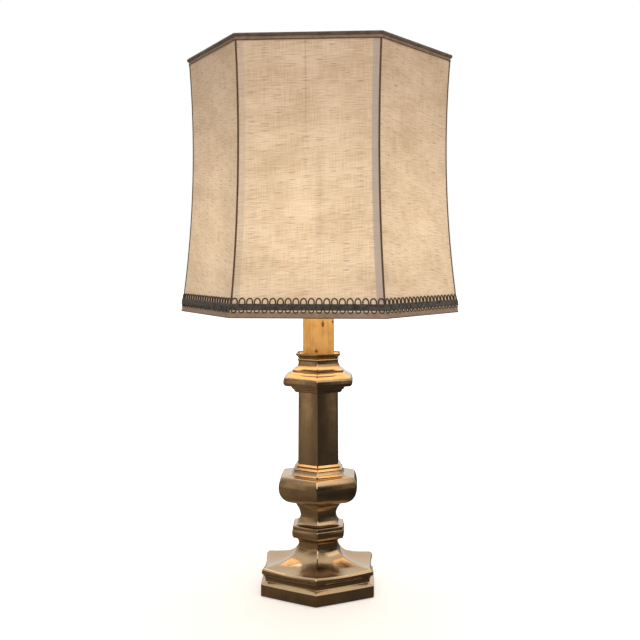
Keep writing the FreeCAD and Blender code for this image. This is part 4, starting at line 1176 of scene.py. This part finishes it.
@dataclass
class Shade:
    """The waisted six-sided shade, in millimetres; radii are corner radii of its outside.

    Attributes:
        sag: how far the corners' lines are drawn in half way up.
        turn: its turn on the lamp, in degrees.
        panel_points: how many points each side has across.
        levels: how many lengths the cloth is drawn in.
        edge_thick: thickness of the tapes folded over its edges.
        curl: how far those folds are rounded.
        slack: how far the cloth is drawn in between the struts.
        pulls: how far each panel's threads run out of level towards the bottom.
    """

    top_radius: float = 165.5
    bottom_radius: float = 177.5
    sag: float = 9.5
    turn: float = 27.5
    panel_points: int = 12
    levels: int = 26
    cover_thick: float = 0.8
    lining_inset: float = 4.95
    lining_thick: float = 0.6
    lining_drop: float = 2.0
    tape_thick: float = 0.4
    tape_from_corner: float = 5.0
    tape_width: float = 9.0
    edge_thick: float = 0.7
    curl: float = 0.8
    corner_round: float = 3.0
    slack: float = 1.0
    pulls: tuple[float, ...] = (0.06, -0.14, -0.10, 0.13, -0.30, 0.10)

    def __post_init__(self) -> None:
        """Reads the shade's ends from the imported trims."""
        self.bottom = low("bottom_binding")
        self.top = high("top_trim")
        self.gimp_low = low("gimp_braid")
        self.gimp_high = high("gimp_braid")
        self.tape_low = low("top_trim")

    def build(self) -> None:
        """All of the shade's cloth and trims."""
        trims = [self.seams(), self.top_tape(), Roll().build(self), self.hem(), self.edge_shade_cords()]
        self.cover(trims + Gimp().build(self))
        self.lining()
        self.seam_tapes()

    def radius(self, height: float) -> float:
        """Corner radius of the outside at a height."""
        share = (height - self.bottom) / (self.top - self.bottom)
        straight = self.bottom_radius + (self.top_radius - self.bottom_radius) * share
        return straight - 4 * self.sag * share * (1 - share)

    def around(self, way: float, out: float, height: float) -> Vector:
        """A point on the shade's outside.

        Args:
            way: the distance round in sides, from 0 to 6.
            out: how far it stands out, in millimetres.
            height: its height in millimetres.

        Returns:
            The point in metres.
        """
        corner = self.radius(height) + out / COS30
        side = math.floor(way)
        share = way - side
        start = math.radians(self.turn - 90 + 60 * side)
        end = start + SIDE_TURN
        near = min(share, 1 - share) * corner
        tangent = self.corner_round * TAN30
        if near >= tangent:
            x = corner * (math.cos(start) * (1 - share) + math.cos(end) * share)
            y = corner * (math.sin(start) * (1 - share) + math.sin(end) * share)
            return Vector((x, y, height)) * MM
        middle = start if share < 0.5 else end
        swing = HALF_TURN * near / tangent * (1 if share < 0.5 else -1)
        centre = corner - self.corner_round / COS30
        x = centre * math.cos(middle) + self.corner_round * math.cos(middle + swing)
        y = centre * math.sin(middle) + self.corner_round * math.sin(middle + swing)
        return Vector((x, y, height)) * MM

    def ring(self, count: int, out: float, height: float) -> list[Vector]:
        """Points spread evenly all round, at a distance out and a height."""
        return [self.around(SIDES * n / count, out, height) for n in range(count)]

    def band(self, name: str, section: Points, rounding: float) -> Piece:
        """A closed band round the shade, whose section is given as (distance out, height), in edit mode."""
        points = [(self.radius(z) + out / COS30, z) for out, z in section]
        piece = ring_start(name, SIDES * self.panel_points, *points[0], turn=self.turn)
        flatten_to_hexagon(0)
        draw_up(points)
        close_section()
        face_out()
        round_mitres(rounding)
        return piece

    def skin(self, name: str, inset: float, thick: float, bottom: float, top: float) -> Piece:
        """Cloth between two heights, its outer face moved in by the inset, in edit mode."""
        heights = [bottom + (top - bottom) * n / self.levels for n in range(self.levels + 1)]
        section = [(-inset, z) for z in heights] + [(-inset - thick, z) for z in reversed(heights)]
        piece = self.band(name, section, self.corner_round)
        self.lay_cloth()
        return piece

    def rise(self, point: Vector) -> float:
        """How far up the shade a point is, as a share of its height."""
        return (point.z / MM - self.bottom) / (self.top - self.bottom)

    def lay_cloth(self) -> None:
        """Draws each panel in a little between the struts, and maps the cloth in metres.

        The "cloth" map runs along the threads; the "panel" map gives the distance from the panel's middle,
        and from its nearest corner, negative on the panels that have no tapes.
        """
        mesh = edit_mesh()
        cloth = mesh.loops.layers.uv.new("cloth")
        panel = mesh.loops.layers.uv.new("panel")
        for face in mesh.faces:
            side = side_of(face.calc_center_median())
            for loop in face.loops:
                across, width = across_panel(loop.vert.co, side)
                pull = self.pulls[side] * (1 - self.rise(loop.vert.co)) * across
                loop[cloth].uv = (side * 0.3 + across, loop.vert.co.z - pull)
                inward = width / 2 - abs(across)
                loop[panel].uv = (across, inward if side % 2 else -inward)
        for vert in mesh.verts:
            side = side_of(vert.co)
            across, width = across_panel(vert.co, side)
            rise = min(max(self.rise(vert.co), 0.0), 1.0)
            hollow = self.slack * (1 - (2 * across / width) ** 2) * math.sin(math.pi * rise)
            middle = SIDE_TURN * side + HALF_TURN
            vert.co -= Vector((math.sin(middle), math.cos(middle), 0)) * hollow * MM
        update_mesh()

    def cover(self, trims: list[Piece]) -> None:
        """Outer cloth, drawn tight over the struts."""
        edge = self.edge_thick
        piece = self.skin("shade_cloth", 0.0, self.cover_thick, self.bottom + edge, self.top - edge)
        finish_piece(piece, COVER, SHADE, ("shade_cover",))

    def lining(self) -> None:
        """Inner cloth, glued inside the two rings."""
        bottom, top = low("shade_lining"), high("shade_lining") - self.lining_drop
        piece = self.skin("lining_cloth", self.lining_inset, self.lining_thick, bottom, top)
        finish_piece(piece, LINING, SHADE, ("shade_lining",))

    def seam_tapes(self) -> None:
        """Twill tapes inside the cover beside the struts, in pairs on every other panel."""
        bottom, top = low("strut_tapes"), high("strut_tapes")
        inside = -self.cover_thick - self.tape_thick * 1.2 - self.slack * 0.1
        grids = []
        for side in range(SIDES):
            bpy.ops.mesh.primitive_grid_add(x_subdivisions=2, y_subdivisions=12, size=1)
            grid = bpy.context.object
            for vert in grid.data.vertices:
                height = bottom + (top - bottom) * (vert.co.y + 0.5)
                from_corner = self.tape_from_corner + self.tape_width * (vert.co.x + 0.5)
                way = from_corner / (self.radius(height) + inside / COS30)
                vert.co = self.around((side + way if side % 2 else side - way) % SIDES, inside, height)
            grids.append(grid)
        select_only(*grids)
        bpy.ops.object.join()
        piece = bpy.context.object
        piece.name = "seam_tape_strips"
        modify(piece, "SOLIDIFY", thickness=self.tape_thick * MM, offset=0)
        bpy.ops.object.mode_set(mode="EDIT")
        face_out()
        finish_piece(piece, STRAP, SHADE, ("strut_tapes",))

    def seams(self) -> Piece:
        """Piping over the seam along each corner."""
        bottom, top, steps = self.gimp_low + 4, self.tape_low + 1, 30
        heights = [bottom + (top - bottom) * n / steps for n in range(steps + 1)]
        lines = [[self.around(side, -0.15, z) for z in heights] for side in range(SIDES)]
        return tube("seam_piping", lines, 1.15, SEAM, closed=False, sides=2)

    def folded(self, proud: float, reach: float, edge: Edge) -> Points:
        """Section of a tape that folds over an edge of the shade and down inside the lining.

        Args:
            proud: how far the tape stands out.
            reach: how far it goes from the edge.
            edge: which edge it folds over.

        Returns:
            The section's points: the distance out and the height.
        """
        end = self.top if edge is Edge.TOP else self.bottom
        thick, curl = self.edge_thick, self.curl
        leg = self.lining_inset + self.lining_thick + 0.1
        back = leg + thick
        outside = [(0.0, reach), (proud * 0.8, reach - 0.15), (proud, reach - 0.6), (proud, curl)]
        over = [(proud - curl, 0.0), (curl - back, 0.0)]
        inside = [(-back, curl), (-back, reach), (-leg, reach), (-leg, thick), (0.0, thick)]
        return [(out, end - edge.value * depth) for out, depth in outside + over + inside]

    def top_tape(self) -> Piece:
        """Flat tape folded over the top edge."""
        piece = self.band("top_tape", self.folded(0.9, self.top - self.tape_low, Edge.TOP), 2.0)
        return finish_piece(piece, TAPE, SHADE, ("top_trim",))

    def hem(self) -> Piece:
        """Plain hem folded over the bottom edge."""
        reach = self.gimp_low - self.bottom + 1.5
        piece = self.band("hem_fold", self.folded(0.8, reach, Edge.BOTTOM), 2.0)
        return finish_piece(piece, HEM, SHADE, ("bottom_binding",))

    def edge_shade_cords(self) -> Piece:
        """Dark cords along the hem's fold and under the top tape: painted shade along both edges."""
        places = [(0.55, self.bottom + 0.55), (0.95, self.tape_low + 0.3)]
        shares = (0.0, 0.006, 0.012, 0.25, 0.5, 0.75, 0.988, 0.994)
        ways = [side + share for side in range(SIDES) for share in shares]
        lines = [[self.around(way, out, z) for way in ways] for out, z in places]
        return tube("hem_cord", lines, 0.6, SEAM)


@dataclass
class Roll:
    """Rolled cord of twisted strands round the shade's top, in millimetres.

    Attributes:
        strands: how many strands it has.
        strand: radius of a strand.
        turns: how often they turn on the way round.
        per_turn: how many points each turn has.
        out: how far the cord's middle stands out from the shade.
        wide: how far a strand's middle swings out.
        tall: how far it swings up.
    """

    strands: int = 3
    strand: float = 0.95
    turns: int = 144
    per_turn: int = 10
    out: float = 1.35
    wide: float = 0.6
    tall: float = 1.25

    def build(self, shade: Shade) -> Piece:
        """The cord on a shade."""
        middle = (low("top_cord") + high("top_cord")) / 2
        count = self.turns * self.per_turn
        lines = []
        for number in range(self.strands):
            line = []
            for n in range(count):
                angle = 2 * math.pi * (n / self.per_turn + number / self.strands)
                out = self.out + self.wide * math.cos(angle)
                line.append(shade.around(SIDES * n / count, out, middle + self.tall * math.sin(angle)))
            lines.append(line)
        return tube("top_cord_roll", lines, self.strand, CORD, ("top_cord",))


@dataclass
class Gimp:
    """Braided gimp round the shade's bottom, in millimetres.

    Attributes:
        loops: how many loops and scallops go round.
        points: how many points each of them has.
        cord: radius of the loops' cord.
        scallop_cord: radius of the scallops' cord.
        loop_swing: how far a loop swings to each side.
        scallop_swing: how far a scallop does.
        loop_out: how far the loops stand out from the shade.
        scallop_out: how far the scallops do.
        weave: how far their cord goes in and out.
        plait_foot: how far over the gimp's lower edge the plait starts.
        plait_top: how far over it the plait ends.
        loop_start: how far over the plait's foot the loops start.
        scallop_lap: how far under the plait's top the scallops end.
        yarns: how many yarns the plait has.
        yarn: radius of a yarn in the plait.
        yarn_out: how far the yarns stand out.
        yarn_depth: how far a yarn goes in and out.
        yarn_swing: how far it swings up and down.
        yarn_points: how many points a yarn has in each turn.
        core: radius of the cords under the plait.
        core_out: how far they stand out.
        core_rises: how far over the plait's foot each of them lies.
        core_points: how many points they have.
    """

    loops: int = 120
    points: int = 18
    cord: float = 0.8
    scallop_cord: float = 0.72
    loop_swing: float = 5.4
    scallop_swing: float = 4.8
    loop_out: float = 0.75
    scallop_out: float = 0.8
    weave: float = 0.12
    plait_foot: float = 2.7
    plait_top: float = 11.4
    loop_start: float = 1.5
    scallop_lap: float = 2.5
    yarns: int = 4
    yarn: float = 0.85
    yarn_out: float = 1.05
    yarn_depth: float = 0.35
    yarn_swing: float = 3.1
    yarn_points: int = 10
    core: float = 1.1
    core_out: float = 0.55
    core_rises: tuple[float, ...] = (1.7, 4.35, 7.0)
    core_points: int = 480

    def build(self, shade: Shade) -> list[Piece]:
        """A plaited band, keyhole loops over it and scallops under it, on a shade."""
        foot, top = shade.gimp_low + self.plait_foot, shade.gimp_low + self.plait_top
        start, hang = foot + self.loop_start, shade.gimp_low + self.cord * 0.6
        rise, drop = shade.gimp_high - self.cord - start, top - self.scallop_lap - hang
        loops = self.wave(shade, start, rise, self.loop_swing, self.loop_out, self.weave)
        scallops = self.wave(shade, hang + drop, -drop, self.scallop_swing, self.scallop_out, -self.weave)
        core = [shade.ring(self.core_points, self.core_out, foot + up) for up in self.core_rises]
        return [
            tube("gimp_loops", [loops], self.cord, GIMP),
            tube("gimp_scallops", [scallops], self.scallop_cord, GIMP),
            tube("gimp_plait", self.plait(shade, (foot + top) / 2), self.yarn, PLAIT, ("gimp_braid",)),
            tube("gimp_core", core, self.core, PLAIT),
        ]

    def wave(
        self, shade: Shade, start: float, rise: float, swing: float, out: float, weave: float
    ) -> list[Vector]:
        """A row of loops.

        Args:
            shade: the shade that it goes round.
            start: the height where each loop starts.
            rise: how far it goes up from there, or down if negative.
            swing: how far it swings to each side.
            out: how far it stands out.
            weave: how far it goes in and out from there.

        Returns:
            The row's points, in metres.
        """
        corner = shade.radius(shade.gimp_low)
        line = []
        for n in range(self.loops * self.points):
            share = n / self.points
            angle = 2 * math.pi * share
            way = SIDES * share / self.loops + swing / corner * math.sin(angle)
            place = out + weave * math.sin(2 * angle)
            line.append(shade.around(way % SIDES, place, start + rise / 2 * (1 - math.cos(angle))))
        return line

    def plait(self, shade: Shade, middle: float) -> list[list[Vector]]:
        """The points of each yarn of the plaited band, round a middle height."""
        count = self.loops * self.yarn_points
        lines = []
        for number in range(self.yarns):
            line = []
            for n in range(count):
                angle = 2 * math.pi * (n / self.yarn_points + number / self.yarns)
                out = self.yarn_out + self.yarn_depth * math.cos(2 * angle + number)
                height = middle + self.yarn_swing * math.sin(angle)
                line.append(shade.around(SIDES * n / count, out, height))
            lines.append(line)
        return lines


def side_of(point: Vector) -> int:
    """Which side of an unturned band a point is on, clockwise from +Y seen from over it."""
    return int(math.degrees(math.atan2(point.x, point.y)) % 360 // 60) % 6


def across_panel(point: Vector, side: int) -> tuple[float, float]:
    """How far a point is to the right of a side's middle, seen from outside, and the side's width."""
    off = math.atan2(point.x, point.y) - (SIDE_TURN * side + HALF_TURN)
    reach = point.xy.length
    return -reach * math.sin(off), 2 * reach * math.cos(off) * TAN30


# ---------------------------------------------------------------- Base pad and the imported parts


@dataclass
class BasePad:
    """Felt under the base plate, in millimetres."""

    radius: float = 77.2
    edge: float = 0.35

    def build(self) -> None:
        """The hexagon of felt with its cut edge a little rounded."""
        bottom, top = low("base_felt"), high("base_felt")
        inner = self.radius - self.edge
        edge = [(self.radius, bottom + self.edge), (self.radius, top - self.edge)]
        points = [(inner, bottom), *edge, (inner, top)]
        piece = ring_start("felt_pad", 36, *points[0], turn=0)
        flatten_to_hexagon(0)
        draw_up(points)
        face_out()
        round_mitres(1.5)
        finish_piece(piece, FELT, STEM, ("base_felt",))


def dress_kept() -> None:
    """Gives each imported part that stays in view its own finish."""
    for name, finish in KEPT.items():
        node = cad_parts[name]
        node = bpy.data.objects[node] if isinstance(node, str) else node
        node.data.materials.clear()
        node.data.materials.append(finish.material())
        log.info("%s: %s", name, finish.name)


# ---------------------------------------------------------------- Studio


@dataclass(frozen=True)
class Softbox:
    """A soft lamp.

    Attributes:
        place: where it stands, in metres.
        aim: the point that it faces.
        size: its width and height.
        watts: its power.
        colour: its colour.
    """

    place: tuple[float, float, float]
    aim: tuple[float, float, float]
    size: tuple[float, float]
    watts: float
    colour: str = "#ffffff"

    def hang(self, name: str) -> None:
        """Adds the lamp to the scene."""
        data = bpy.data.lights.new(name, "AREA")
        data.shape = "RECTANGLE"
        data.size, data.size_y = self.size
        data.energy = self.watts
        data.color = linear(self.colour)[:3]
        lamp = bpy.data.objects.new(name, data)
        bpy.context.scene.collection.objects.link(lamp)
        lamp.location = self.place
        way = Vector(self.aim) - Vector(self.place)
        lamp.rotation_euler = way.to_track_quat("-Z", "Y").to_euler()


@dataclass
class Studio:
    """Camera, pale floor, background and lamps, in metres and degrees."""

    camera_place: tuple[float, float, float] = (0.0493, -1.2902, 0.4256)
    camera_pitch: float = 86.55
    camera_yaw: float = 2.1
    lens: float = 56.8
    floor_size: float = 24.0
    lamps: tuple[Softbox, ...] = (
        Softbox((0.2, -2.1, 1.5), (0, 0, 0.4), (2.0, 1.5), 16.0, "#fffaf6"),
        Softbox((1.4, -1.1, 1.3), (0, 0, 0.4), (1.0, 1.0), 4.0, "#fff2e0"),
        Softbox((0.0, 0.6, 2.0), (0, 0, 0.3), (1.6, 1.0), 12.0, "#ffffff"),
        Softbox((-1.3, -0.66, 0.2), (0, 0, 0.2), (0.14, 1.4), 0.6, "#ffe8cc"),
        Softbox((1.3, -0.72, 0.2), (0, 0, 0.2), (0.12, 1.4), 0.3, "#ffe8cc"),
    )

    def build(self) -> None:
        """Everything round the lamp."""
        self.camera()
        self.floor()
        self.background()
        for number, lamp in enumerate(self.lamps):
            lamp.hang(f"softbox_{number}")
        bpy.context.scene.view_settings.view_transform = "Standard"

    def camera(self) -> None:
        """The photograph's view."""
        data = bpy.data.cameras.new("camera")
        data.lens = self.lens
        data.sensor_width = 36.0
        camera = bpy.data.objects.new("camera", data)
        bpy.context.scene.collection.objects.link(camera)
        camera.location = self.camera_place
        camera.rotation_euler = (math.radians(self.camera_pitch), 0.0, math.radians(self.camera_yaw))
        bpy.context.scene.camera = camera

    def floor(self) -> None:
        """Matt pale floor, lifted to white away from the lamp for the camera, and darker in the metal."""
        bpy.ops.mesh.primitive_plane_add(size=self.floor_size, location=(0, 0, 0))
        floor = bpy.context.object
        floor.name = "studio_floor"
        paper = bpy.data.materials.new("Matt white paper")
        paper.use_nodes = True
        tree = paper.node_tree
        shader = tree.nodes["Principled BSDF"]
        path = add(tree, "ShaderNodeLightPath", {}).outputs
        where = add(tree, "ShaderNodeTexCoord", {}).outputs["Object"]
        # The floor as the metal sees it: a painted reflection of a dim room, lighter on the left.
        side = ramp(tree, split(tree, where)["X"], -0.25, 0.25)
        in_metal = blend(tree, side, linear("#9a9084"), linear("#3e3b39"))
        away = add(tree, "ShaderNodeVectorMath", {0: where}, operation="LENGTH").outputs["Value"]
        lift = calc(tree, "MULTIPLY_ADD", ramp(tree, away, 0.15, 0.9), 0.5, 0.35)
        feed(tree, shader, {
            "Base Color": blend(tree, path["Is Glossy Ray"], linear("#f2f1ef"), in_metal),
            "Roughness": 1.0,
            "Emission Color": linear("#ffffff"),
            "Emission Strength": times(tree, path["Is Camera Ray"], lift),
        })
        floor.data.materials.append(paper)

    def background(self) -> None:
        """White behind the lamp and over it; a dim room, warmer on the left, where the camera stands."""
        world = bpy.data.worlds.new("studio_room")
        bpy.context.scene.world = world
        world.use_nodes = True
        tree = world.node_tree
        parts = split(tree, add(tree, "ShaderNodeTexCoord", {}).outputs["Generated"])
        behind = ramp(tree, parts["Y"], -0.15, 0.5)
        over = ramp(tree, parts["Z"], 0.25, 0.8)
        room = blend(tree, ramp(tree, parts["X"], -0.6, 0.4), linear("#7d746a"), linear("#2c2c30"))
        seen_in_metal = blend(tree, calc(tree, "MAXIMUM", behind, over), room, linear("#ffffff"))
        path = add(tree, "ShaderNodeLightPath", {}).outputs
        aside = ramp(tree, calc(tree, "ABSOLUTE", parts["X"]), 0.3, 0.9)
        ambient = blend(tree, aside, linear("#c4c2c0"), linear("#93774f"))
        colour = blend(tree, path["Is Glossy Ray"], ambient, seen_in_metal)
        straight = calc(tree, "MAXIMUM", path["Is Camera Ray"], path["Is Transmission Ray"])
        colour = blend(tree, straight, colour, linear("#ffffff"))
        feed(tree, tree.nodes["Background"], {"Color": colour, "Strength": 1.0})


def main() -> None:
    """Builds the lamp and its studio."""
    logging.basicConfig(level=logging.INFO)
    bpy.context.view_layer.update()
    Studio().build()
    castings = (
        Foot("foot"), LowerRing("lower_ring"), Knop("knop"), Collar("knop_collar"),
        Column("column"), Capital("capital"), DripCup("drip_cup"),
    )
    for casting in castings:
        casting.build()
    Candle().build()
    BasePad().build()
    Shade().build()
    dress_kept()


if __name__ == "__main__":
    main()
